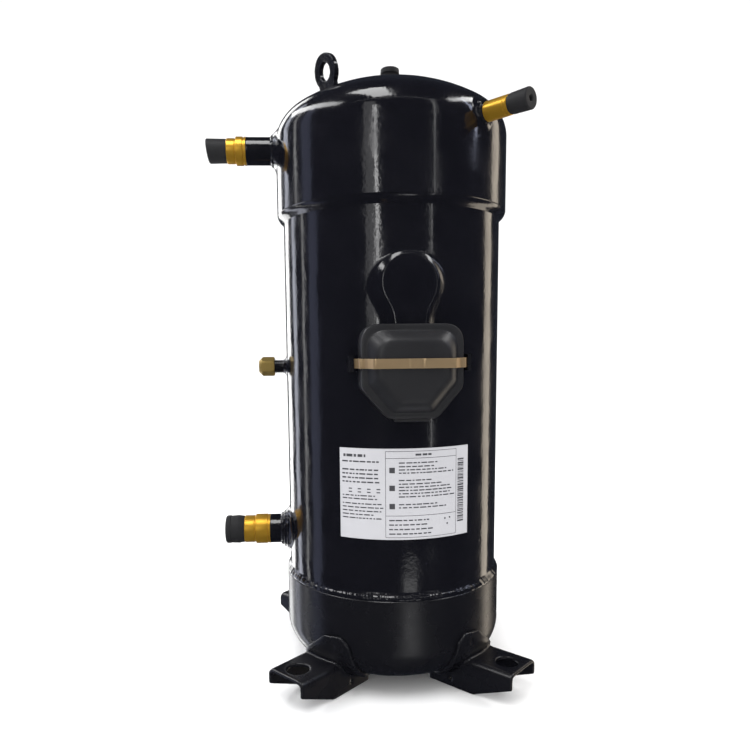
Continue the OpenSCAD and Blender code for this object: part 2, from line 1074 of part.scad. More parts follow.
module rotor_core() {
    color(iron)
        translate([0, 0, stator_z0])
            ring(rotor_r, shaft_r, stator_z1 - stator_z0);
}

module rotor_end_rings() {
    color(aluminium)
        for (z = [stator_z0 - 10, stator_z1])
            translate([0, 0, z])
                ring(rotor_r - 1, 30, 10);
}

slot_w = 6.4;
slot_r0 = 53;
slot_r1 = 76;

module stator_core() {
    color(iron)
        difference() {
            translate([0, 0, stator_z0])
                ring(shell_ri, stator_bore_r, stator_z1 - stator_z0);
            for (k = [0:slot_count - 1])
                rotate([0, 0, 360 * k / slot_count])
                    translate([slot_r0, -slot_w / 2, stator_z0 - 1])
                        cube([slot_r1 - slot_r0, slot_w, stator_z1 - stator_z0 + 2]);
            for (k = [0:5])
                rotate([0, 0, 60 * k])
                    translate([shell_ri + 1, -16, stator_z0 - 1])
                        mirror([1, 0, 0])
                            cube([6, 32, stator_z1 - stator_z0 + 2]);
        }
}

// Coil head: a ring with rounded outer edges
module coil_head(z, h) {
    translate([0, 0, z])
        rotate_extrude() {
            translate([slot_r0 + 1, 0])
                square([24, h]);
            translate([slot_r0 + 25, 6])
                square([6, h - 12]);
            for (v = [6, h - 6])
                translate([slot_r0 + 25, v])
                    circle(r = 6);
        }
}

module stator_windings() {
    color(copper) {
        coil_head(stator_z1 + 1, 26);
        coil_head(stator_z0 - 31, 30);
        for (k = [0:slot_count - 1])
            rotate([0, 0, 360 * k / slot_count])
                translate([slot_r0 + 1, -slot_w / 2 + 0.3, stator_z0 - 2])
                    cube([slot_r1 - slot_r0 - 1.4, slot_w - 0.6, stator_z1 - stator_z0 + 5]);
    }
}

// Round wire along straight runs between points, with a ball at each bend
module wire(points, r) {
    for (i = [0:len(points) - 2]) {
        d = points[i + 1] - points[i];
        run = norm(d);
        translate(points[i])
            rotate([0, acos(d[2] / run), atan2(d[1], d[0])])
                cylinder(r = r, h = run, $fn = 24);
        if (i > 0)
            translate(points[i])
                sphere(r = 1.2 * r, $fn = 24);
    }
}

module lead_connector() {
    color("#d9d2c0")
        at_terminal()
            forward(92, pad_z)
                difference() {
                    cylinder(r = 14.5, h = 6.5);
                    at_pins()
                        translate([0, 0, -1])
                            cylinder(r = pin_r + 0.2, h = 9);
                }
}

module motor_leads() {
    color("#8f2f28")
        at_terminal()
            for (s = [-1, 0, 1])
                wire([[8 * s, -70, stator_z1 + 27], [8 * s, -70, pad_z + 6 - 3 * abs(s)],
                    [8 * s, -92, pad_z + 6 - 3 * abs(s)]], 2.2);
}

module lower_bearing_frame() {
    color(iron)
        difference() {
            union() {
                translate([0, 0, 66])
                    cylinder(r = shell_ri, h = 9);
                translate([0, 0, 62])
                    cylinder(r = 24, h = 28);
            }
            translate([0, 0, 61])
                cylinder(r = 14.5, h = 40);
            for (k = [0:3])
                rotate([0, 0, 45 + 90 * k])
                    translate([62, 0, 60])
                        cylinder(r = 24, h = 20);
        }
}

module lower_bearing() {
    color(brass)
        translate([0, 0, 62.5])
            ring(14.5, lower_journal_r + fit, 27.5);
}

module thrust_plate() {
    color(steel)
        translate([0, 0, 58.5])
            ring(22, 7.5, 3.45);
}

module oil_pickup() {
    color(steel)
        translate([0, 0, -12])
            ring(6, 4.2, 88);
}

module discharge_valve() {
    color(steel)
        translate([0, 0, fixed_base_z + fixed_base_h + fit])
            cylinder(r = 8.5, h = 1.2);
}

module valve_cage() {
    color(steel)
        difference() {
            translate([0, 0, fixed_base_z + fixed_base_h])
                cylinder(r = 14, h = 8);
            translate([0, 0, fixed_base_z + fixed_base_h - 1])
                cylinder(r = 9, h = 6.2);
            for (k = [0:2])
                rotate([0, 0, 120 * k])
                    translate([6.5, 0, fixed_base_z + fixed_base_h + 3])
                        cylinder(r = 1.8, h = 10);
        }
}

module scroll_bolts() {
    color(steel)
        at_scroll_bolts() {
            translate([0, 0, 424])
                cylinder(r = 3, h = shell_z1 + fixed_rim_h - 423);
            translate([0, 0, shell_z1 + fixed_rim_h])
                cylinder(r = 5.5, h = 5, $fn = 6);
        }
}

module suction_inlet_tube() {
    color(copper)
        outward(180, suction_z) {
            translate([0, 0, pocket_r + 6])
                ring(8, 6.8, 34);
            translate([0, 0, 104])
                ring(suction_bore, 6.8, 3);
        }
}

main_shell();
upper_cap();
lower_cap();
upper_weld();
lower_weld();
foot_front_left();
foot_front_right();
foot_back_left();
foot_back_right();
lifting_lug();
sensor_well();
sensor_well_plug();
suction_stub();
suction_sleeve();
suction_plug();
equaliser_stub();
equaliser_sleeve();
equaliser_plug();
discharge_stub();
discharge_sleeve();
discharge_plug();
service_fitting();
service_valve_core();
service_valve_pin();
cap_seal();
service_cap();
terminal_fence();
hermetic_terminal();
terminal_glass_seals();
terminal_pins();
terminal_gasket();
terminal_cover();
cover_strap();
strap_hooks();
name_label();
fixed_scroll();
orbiting_scroll();
oldham_ring();
main_frame();
main_bearing();
drive_bush();
crankshaft();
upper_counterweight();
rotor_core();
rotor_end_rings();
lower_counterweight();
stator_core();
stator_windings();
motor_leads();
lead_connector();
lower_bearing_frame();
lower_bearing();
thrust_plate();
oil_pickup();
discharge_valve();
valve_cage();
scroll_bolts();
suction_inlet_tube();
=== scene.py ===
"""Looks of an upright scroll compressor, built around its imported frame.

All pieces are made in metres in the frame's own axes: +Z runs up the can and the
terminal box faces -Y.
"""

import json
import logging
import math
from dataclasses import dataclass, field
from enum import Enum

import bpy
import numpy as np
from mathutils import Matrix, Vector


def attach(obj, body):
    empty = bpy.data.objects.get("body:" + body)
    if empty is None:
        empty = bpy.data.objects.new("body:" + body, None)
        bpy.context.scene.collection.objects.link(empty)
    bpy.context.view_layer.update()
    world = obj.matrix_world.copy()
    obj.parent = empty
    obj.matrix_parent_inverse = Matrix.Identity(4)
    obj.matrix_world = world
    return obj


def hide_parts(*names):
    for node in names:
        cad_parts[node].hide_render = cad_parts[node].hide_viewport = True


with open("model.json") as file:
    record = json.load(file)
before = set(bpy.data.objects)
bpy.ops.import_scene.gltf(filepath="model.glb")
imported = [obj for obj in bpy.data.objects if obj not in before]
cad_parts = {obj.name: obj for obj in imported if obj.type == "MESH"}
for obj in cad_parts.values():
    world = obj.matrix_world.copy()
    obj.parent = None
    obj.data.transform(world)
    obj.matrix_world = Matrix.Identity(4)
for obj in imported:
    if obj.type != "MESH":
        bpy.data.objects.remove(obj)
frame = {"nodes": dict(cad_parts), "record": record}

LOG = logging.getLogger("compressor")
MM = 0.001
MERGE = 2e-6
Pair = tuple[float, float]
Corner = tuple[float, float, float]
NOISE = "ShaderNodeTexNoise"
WAVE = "ShaderNodeTexWave"
COAT_ROUGHNESS = 0.04
SMOOTHING = 0.5
TURNED_SHARP_DEG = 28.0


# ---------------------------------------------------------------- materials


def linear(hex_colour: str) -> tuple[float, float, float, float]:
    """Turns an sRGB hex colour into linear red, green, blue and alpha.

    Args:
        hex_colour: A colour such as "#c9a227".

    Returns:
        Four linear values with alpha 1.
    """
    values = [int(hex_colour[i : i + 2], 16) / 255 for i in (1, 3, 5)]
    flat = [v / 12.92 if v <= 0.04045 else ((v + 0.055) / 1.055) ** 2.4 for v in values]
    return (*flat, 1.0)


def add_node(tree: bpy.types.NodeTree, kind: str, inputs: dict, **settings) -> bpy.types.Node:
    """Adds one node with its settings, values and links.

    Args:
        tree: The node tree that takes the node.
        kind: The node's type name.
        inputs: Values or output sockets, by input name or index.
        **settings: Attributes of the node.

    Returns:
        The new node.
    """
    node = tree.nodes.new(kind)
    for key, value in settings.items():
        setattr(node, key, value)
    for key, value in inputs.items():
        if isinstance(value, bpy.types.NodeSocket):
            tree.links.new(value, node.inputs[key])
        else:
            node.inputs[key].default_value = value
    return node


class Grain(Enum):
    """Surface patterns that a finish can have."""

    SPRAYED = "sprayed"
    MOULDED = "moulded"
    TURNED = "turned"
    ROLLED = "rolled"
    STACKED = "stacked"
    WOUND = "wound"


@dataclass(frozen=True)
class Finish:
    """One real finish: colours, gloss and the pattern its making leaves.

    grain_mm is the size of the pattern's features and grain_depth_mm how deep they are.
    """

    name: str
    base: str
    shade: str
    grain: Grain
    grain_mm: float
    grain_depth_mm: float
    roughness: float
    roughness_spread: float = 0.06
    metallic: float = 0.0
    ior: float = 1.5
    coat: float = 0.0
    sway_mm: float = 0.0

    def pattern(self, tree: bpy.types.NodeTree) -> bpy.types.NodeSocket:
        """Makes the height pattern of the finish.

        Args:
            tree: The material's node tree.

        Returns:
            The socket with the pattern's height, from 0 to 1.
        """
        place = add_node(tree, "ShaderNodeTexCoord", {}).outputs["Object"]
        scale = 1 / (self.grain_mm * MM)
        if self.grain is Grain.TURNED:
            along = add_node(tree, "ShaderNodeAttribute", {}, attribute_name="along")
            inputs = {"W": along.outputs["Fac"], "Scale": 1 / self.grain_mm, "Detail": 2.0}
            return add_node(tree, NOISE, inputs, noise_dimensions="1D").outputs["Fac"]
        inputs = {"Vector": place, "Scale": scale / math.tau}
        if self.grain is Grain.STACKED:
            return add_node(tree, WAVE, inputs, bands_direction="Z").outputs["Fac"]
        if self.grain is Grain.WOUND:
            inputs["Distortion"] = 3.0
            rings = add_node(tree, WAVE, inputs, wave_type="RINGS", rings_direction="Z")
            return rings.outputs["Fac"]
        stretch = (1.0, 1.0, 0.08) if self.grain is Grain.ROLLED else (1.0, 1.0, 1.0)
        mapped = add_node(tree, "ShaderNodeMapping", {"Vector": place, "Scale": stretch})
        detail = 1.0 if self.grain is Grain.SPRAYED else 4.0
        inputs = {"Vector": mapped.outputs["Vector"], "Scale": scale, "Detail": detail}
        return add_node(tree, NOISE, inputs).outputs["Fac"]

    def build(self) -> bpy.types.Material:
        """Builds the material of this finish.

        Returns:
            The material.
        """
        material = bpy.data.materials.new(self.name)
        material.use_nodes = True
        tree = material.node_tree
        shader = tree.nodes["Principled BSDF"]
        shader.inputs["Metallic"].default_value = self.metallic
        if self.metallic < 0.5:
            shader.inputs["IOR"].default_value = self.ior
        shader.inputs["Coat Weight"].default_value = self.coat
        shader.inputs["Coat Roughness"].default_value = COAT_ROUGHNESS
        height = self.pattern(tree)
        place = add_node(tree, "ShaderNodeTexCoord", {}).outputs["Object"]
        # Handling marks and dust lie in patches a few centimetres wide.
        marks = add_node(tree, NOISE, {"Vector": place, "Scale": 32.0, "Detail": 5.0})
        patches = marks.outputs["Fac"]
        low, high = self.roughness - self.roughness_spread, self.roughness + self.roughness_spread
        limits = {"From Min": 0.3, "From Max": 0.7, "To Min": low, "To Max": high}
        spread = add_node(tree, "ShaderNodeMapRange", {"Value": patches, **limits})
        tree.links.new(spread.outputs["Result"], shader.inputs["Roughness"])
        colours = {"Factor": patches, "A": linear(self.base), "B": linear(self.shade)}
        tint = add_node(tree, "ShaderNodeMix", colours, data_type="RGBA")
        tree.links.new(tint.outputs["Result"], shader.inputs["Base Color"])
        relief = {"Height": height, "Strength": 1.0, "Distance": self.grain_depth_mm * MM}
        bump = add_node(tree, "ShaderNodeBump", relief)
        if self.sway_mm:
            # Rolled and pressed sheet is never quite true, so long soft waves bend reflections.
            wave = add_node(tree, NOISE, {"Vector": place, "Scale": 26.0, "Detail": 1.0})
            relief = {"Height": wave.outputs["Fac"], "Strength": 1.0, "Distance": self.sway_mm * MM}
            bump = add_node(tree, "ShaderNodeBump", {**relief, "Normal": bump.outputs["Normal"]})
        tree.links.new(bump.outputs["Normal"], shader.inputs["Normal"])
        return material


FINISHES: dict[str, Finish] = {
    # Black stoving enamel, sprayed: a wet gloss with a fine orange peel.
    "black_enamel": Finish(
        "sprayed_black_enamel", "#09090d", "#101016", Grain.SPRAYED, 3.4, 0.11, 0.14, 0.06,
        coat=0.3, sway_mm=0.9,
    ),
    # The same enamel over rougher pressed steel dries to a satin.
    "satin_black": Finish(
        "sprayed_satin_enamel", "#0c0c10", "#131318", Grain.SPRAYED, 1.6, 0.035, 0.27, 0.06,
        sway_mm=0.4,
    ),
    # Moulded nitrile rubber: dull, with a slight bloom.
    "rubber": Finish(
        "moulded_rubber", "#1d1d1f", "#252527", Grain.MOULDED, 0.5, 0.02, 0.6, ior=1.36
    ),
    # Turned brass under a yellow lacquer: satin rings from the tool.
    "gold_sleeve": Finish(
        "turned_lacquered_brass", "#e0b040", "#d09c30", Grain.TURNED, 0.6, 0.03, 0.34,
        metallic=0.8,
    ),
    # Plain machined brass, slightly tarnished.
    "brass": Finish(
        "machined_brass", "#b39b5a", "#988048", Grain.MOULDED, 0.6, 0.02, 0.36, metallic=0.75
    ),
    # Ground steel.
    "steel": Finish(
        "ground_steel", "#9a9ca0", "#85878c", Grain.ROLLED, 0.5, 0.01, 0.3, metallic=1.0
    ),
    # Fused glass around the power pins.
    "terminal_glass": Finish(
        "fused_glass", "#3f5652", "#4d6661", Grain.MOULDED, 2.0, 0.01, 0.12, ior=1.52
    ),
    # Bare drawn copper.
    "copper": Finish(
        "drawn_copper", "#b8703a", "#a05c2c", Grain.WOUND, 1.1, 0.25, 0.34, metallic=1.0
    ),
    # Glass-filled polyester, moulded with a fine spark-eroded texture.
    "cover_plastic": Finish(
        "moulded_black_polyester", "#1b1b1e", "#212124", Grain.MOULDED, 0.7, 0.03, 0.42
    ),
    # Cold-rolled spring steel with a bronze-coloured passivated zinc coat.
    "strap_steel": Finish(
        "passivated_spring_steel", "#c2a884", "#ae9470", Grain.ROLLED, 0.8, 0.02, 0.36,
        metallic=0.75,
    ),
    # White polyester label film.
    "label_film": Finish(
        "white_label_film", "#b6b6ba", "#b1b1b5", Grain.MOULDED, 1.0, 0.004, 0.42
    ),
    # Sand-cast grey iron.
    "cast_iron": Finish(
        "grey_cast_iron", "#5c5e62", "#6b6d71", Grain.MOULDED, 1.4, 0.12, 0.55, metallic=0.8
    ),
    # Machined aluminium alloy.
    "aluminium": Finish(
        "machined_aluminium", "#b4b7bb", "#a2a5a9", Grain.ROLLED, 0.6, 0.01, 0.32, metallic=1.0
    ),
    # Stacked electrical steel sheets, drawn 1.5 mm thick so that they show.
    "lamination": Finish(
        "stacked_silicon_steel", "#5f6268", "#6d7076", Grain.STACKED, 1.5, 0.15, 0.45, metallic=0.9
    ),
    # Braided polyester sleeving on the leads.
    "lead_sleeve": Finish(
        "braided_lead_sleeve", "#8f2f28", "#7c2620", Grain.MOULDED, 0.8, 0.1, 0.6
    ),
    # Moulded connector block.
    "connector_plastic": Finish(
        "moulded_connector_nylon", "#d9d2c0", "#cfc7b3", Grain.MOULDED, 0.7, 0.02, 0.45
    ),
}

# Black thermal print on the label.
INK = Finish("label_print_ink", "#3a3a3e", "#434348", Grain.MOULDED, 0.8, 0.002, 0.5)


class Paintshop:
    """Builds each finish once and hands it out."""

    def __init__(self) -> None:
        """Starts with no materials."""
        self.made: dict[str, bpy.types.Material] = {}

    def material(self, finish: Finish) -> bpy.types.Material:
        """Returns the material of a finish, built on first use."""
        if finish.name not in self.made:
            self.made[finish.name] = finish.build()
        return self.made[finish.name]

    def dress(self, obj: bpy.types.Object, finish: Finish) -> None:
        """Gives an object one finish in its only slot.

        Args:
            obj: The object.
            finish: Its finish.
        """
        if not obj.data.materials:
            obj.data.materials.append(None)
        for index in range(len(obj.data.materials)):
            obj.data.materials[index] = self.material(finish)


SHOP = Paintshop()
RECORD = frame["record"]
SLOT_OF = {row["node"]: row["material_slot"] for row in RECORD["subparts"]}
BODY_OF = {node: body for body, nodes in RECORD["behaviour"]["bodies"].items() for node in nodes}


# ---------------------------------------------------------------- modelling


def deselect() -> None:
    """Deselects every object."""
    for obj in bpy.context.selected_objects:
        obj.select_set(False)


def pick(*objs: bpy.types.Object) -> None:
    """Selects only these objects and makes the first one active."""
    deselect()
    for obj in objs:
        obj.select_set(True)
    bpy.context.view_layer.objects.active = objs[0]


def tidy_mesh(obj: bpy.types.Object, sharp_deg: float, outward: bool = True) -> None:
    """Merges doubles, drops loose edges, turns faces outward and smooths the shading.

    Args:
        obj: The piece.
        sharp_deg: Edges sharper than this angle stay sharp.
        outward: Whether to recalculate the normals.
    """
    pick(obj)
    bpy.ops.object.mode_set(mode="EDIT")
    bpy.ops.mesh.select_all(action="SELECT")
    bpy.ops.mesh.remove_doubles(threshold=MERGE)
    bpy.ops.mesh.dissolve_degenerate(threshold=MERGE / 4)
    bpy.ops.mesh.select_all(action="SELECT")
    bpy.ops.mesh.delete_loose(use_verts=True, use_edges=True, use_faces=False)
    bpy.ops.mesh.select_all(action="SELECT")
    if outward:
        bpy.ops.mesh.normals_make_consistent(inside=False)
    bpy.ops.object.mode_set(mode="OBJECT")
    bpy.ops.object.shade_smooth_by_angle(angle=math.radians(sharp_deg))
    deselect()


def corner_path(
    points: list[Corner], steps: int = 4, closed: bool = True
) -> list[Pair]:
    """Rounds the corners of a line of points.

    Args:
        points: Two coordinates and the corner's radius, for each corner.
        steps: Parts that each rounded corner is divided into.
        closed: Whether the line joins up again.

    Returns:
        The line's points, with an arc in place of each rounded corner.
    """
    out: list[Pair] = []
    count = len(points)
    for i, (x, y, radius) in enumerate(points):
        here = Vector((x, y))
        if radius <= 0 or (not closed and i in (0, count - 1)):
            out.append((x, y))
            continue
        before = Vector(points[i - 1][:2]) - here
        after = Vector(points[(i + 1) % count][:2]) - here
        half = before.angle(after) / 2
        reach = min(radius / math.tan(half), 0.49 * before.length, 0.49 * after.length)
        start, end = here + before.normalized() * reach, here + after.normalized() * reach
        for k in range(steps + 1):
            t = k / steps
            bent = (1 - t) ** 2 * start + 2 * t * (1 - t) * here + t * t * end
            out.append((bent.x, bent.y))
    return out


def on_axis(direction: Vector, height: float) -> Matrix:
    """Returns the placement of a piece turned about a line out of the can.

    Args:
        direction: The way the line points, level.
        height: The line's height.

    Returns:
        A matrix that takes +Z to direction and +X to straight down.
    """
    forward = Vector(direction).normalized()
    down = Vector((0.0, 0.0, -1.0))
    side = forward.cross(down)
    turn = Matrix((down, side, forward)).transposed().to_4x4()
    return Matrix.Translation((0.0, 0.0, height)) @ turn


def mark_along(obj: bpy.types.Object) -> None:
    """Stores each point's distance along local Z, in millimetres, for turned finishes."""
    along = obj.data.attributes.new("along", "FLOAT", "POINT")
    values = np.array([v.co.z for v in obj.data.vertices], np.float32) / MM
    along.data.foreach_set("value", values)


def turned(
    name: str,
    outline: list[Pair],
    place: Matrix = Matrix.Identity(4),
    steps: int = 96,
) -> bpy.types.Object:
    """Spins a closed outline about its axis.

    Args:
        name: The piece's name.
        outline: Radius and distance along the axis, in millimetres, round the section.
        place: Where the axis goes.
        steps: Number of parts in a turn.

    Returns:
        The turned piece.
    """
    deselect()
    bpy.ops.mesh.primitive_circle_add(vertices=len(outline), radius=1.0)
    obj = bpy.context.object
    obj.name = obj.data.name = name
    for vertex, (radius, along) in zip(obj.data.vertices, outline, strict=True):
        vertex.co = (radius * MM, 0.0, along * MM)
    bpy.ops.object.mode_set(mode="EDIT")
    bpy.ops.mesh.select_all(action="SELECT")
    bpy.ops.mesh.spin(steps=steps, angle=math.tau, center=(0, 0, 0), axis=(0, 0, 1))
    bpy.ops.object.mode_set(mode="OBJECT")
    tidy_mesh(obj, TURNED_SHARP_DEG)
    mark_along(obj)
    obj.data.transform(place)
    return obj


def woven(name: str, points: np.ndarray, sharp_deg: float = 30.0) -> bpy.types.Object:
    """Shapes a grid to rows of points, and merges where rows or columns meet.

    Args:
        name: The piece's name.
        points: Rows by columns by three coordinates, in millimetres.
        sharp_deg: Edges sharper than this stay sharp.

    Returns:
        The piece.
    """
    rows, columns = points.shape[:2]
    deselect()
    bpy.ops.mesh.primitive_grid_add(x_subdivisions=columns - 1, y_subdivisions=rows - 1, size=1)
    obj = bpy.context.object
    obj.name = obj.data.name = name
    obj.data.vertices.foreach_set("co", (points * MM).reshape(-1).astype(np.float32))
    obj.data.update()
    tidy_mesh(obj, sharp_deg)
    return obj


def around(radius: np.ndarray | float, angles: np.ndarray, along: np.ndarray | float) -> np.ndarray:
    """Returns points round +Z at these radii, angles and distances along the axis."""
    radius, along = np.broadcast_to(radius, angles.shape), np.broadcast_to(along, angles.shape)
    return np.stack([radius * np.cos(angles), radius * np.sin(angles), along], -1)


def ripple(angles: np.ndarray, waves: int, seed: int, terms: int = 6) -> np.ndarray:
    """Makes an uneven closed ripple, as a hand-run weld has.

    Args:
        angles: Angles round the weld.
        waves: Ripples in a turn.
        seed: Seed of the random phases.
        terms: Number of waves that are mixed.

    Returns:
        Heights from about -1 to 1.
    """
    draw = np.random.default_rng(seed)
    total = 0.55 * np.abs(np.sin(waves * angles / 2 + draw.uniform(0, 6)))
    for k in range(terms):
        turns = max(2, int(waves * draw.uniform(0.12, 0.8)))
        total = total + draw.uniform(0.1, 0.3) * np.sin(turns * angles + draw.uniform(0, 6))
    return total - 0.35


def joined(name: str, parts: list[bpy.types.Object]) -> bpy.types.Object:
    """Joins parts of one welded piece into one object.

    Args:
        name: The piece's name.
        parts: Its parts.

    Returns:
        The joined piece.
    """
    pick(*parts)
    bpy.ops.object.join()
    parts[0].name = parts[0].data.name = name
    deselect()
    return parts[0]


def copied(node: str, name: str) -> bpy.types.Object:
    """Copies a frame node's mesh into a new merged piece.

    Args:
        node: The node's name.
        name: The piece's name.

    Returns:
        The copy.
    """
    mesh = frame["nodes"][node].data.copy()
    obj = bpy.data.objects.new(name, mesh)
    bpy.context.scene.collection.objects.link(obj)
    mesh.materials.clear()
    if mesh.has_custom_normals:
        pick(obj)
        bpy.ops.mesh.customdata_custom_splitnormals_clear()
    tidy_mesh(obj, 30.0, outward=False)
    return obj


def modified(obj: bpy.types.Object, kind: str, **settings) -> None:
    """Adds a modifier to a piece and applies it.

    Args:
        obj: The piece.
        kind: The modifier's type.
        **settings: Attributes of the modifier.
    """
    pick(obj)
    modifier = obj.modifiers.new(kind.lower(), kind)
    for key, value in settings.items():
        setattr(modifier, key, value)
    bpy.ops.object.modifier_apply(modifier=modifier.name)
    deselect()


def softened(obj: bpy.types.Object, voxel_mm: float, passes: int) -> bpy.types.Object:
    """Melts a piece's edges and joints as forming, welding and thick paint do.

    Args:
        obj: The piece, one or more closed solids.
        voxel_mm: Size of the new mesh's cells.
        passes: Smoothing passes.

    Returns:
        The same piece.
    """
    modified(obj, "REMESH", mode="VOXEL", voxel_size=voxel_mm * MM)
    modified(obj, "SMOOTH", factor=SMOOTHING, iterations=passes)
    pick(obj)
    bpy.ops.object.shade_smooth()
    deselect()
    return obj


def install(obj: bpy.types.Object, *nodes: str, finish: Finish | None = None) -> None:
    """Dresses a piece, puts it on its body and hides the nodes it stands for.

    Args:
        obj: The finished piece.
        *nodes: The frame nodes it stands for. The first gives its body and finish slot.
        finish: A finish other than the slot's own.
    """
    slot = SLOT_OF[nodes[0]]
    SHOP.dress(obj, finish or FINISHES[slot])
    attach(obj, BODY_OF[nodes[0]])
    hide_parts(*nodes)
    LOG.info("%s: %d faces, stands for %s", obj.name, len(obj.data.polygons), ", ".join(nodes))


# ---------------------------------------------------------------- the welded can

TERMINAL_TURN = Matrix.Rotation(math.radians(2.5), 4, "Z")


def smooth_max(a: np.ndarray, b: np.ndarray, width: float) -> np.ndarray:
    """Returns the larger value, with the crossing rounded over the given width."""
    blend = np.clip(0.5 + 0.5 * (a - b) / width, 0, 1)
    return b + (a - b) * blend + width * blend * (1 - blend)


def smooth_ramp(value: np.ndarray, width: float) -> np.ndarray:
    """Returns max(value, 0) with its bend rounded over the given width."""
    return smooth_max(value, np.zeros_like(value), width)


def dished(radius: float, knuckle: float, height: float, arcs: int = 14) -> list[Pair]:
    """Outline of a dished cap from its straight side to the axis.

    Args:
        radius: Radius of the straight side.
        knuckle: Radius of the rounded corner.
        height: Rise of the dome above the end of the straight side.
        arcs: Parts that each arc is divided into.

    Returns:
        Radius and rise of each point, in the unit of the arguments.
    """
    flat = radius - knuckle
    dish = (flat * flat + height * height - knuckle * knuckle) / (2 * (height - knuckle))
    lean = math.atan2(math.sqrt((dish - knuckle) ** 2 - flat * flat), flat)
    corner = [
        (flat + knuckle * math.cos(lean * k / arcs), knuckle * math.sin(lean * k / arcs))
        for k in range(arcs)
    ]
    top = []
    for k in range(arcs + 1):
        angle = lean + (math.pi / 2 - lean) * k / arcs
        top.append((max(dish * math.cos(angle), 0.0), height - dish + dish * math.sin(angle)))
    top[-1] = (0.0, height)
    return corner + top


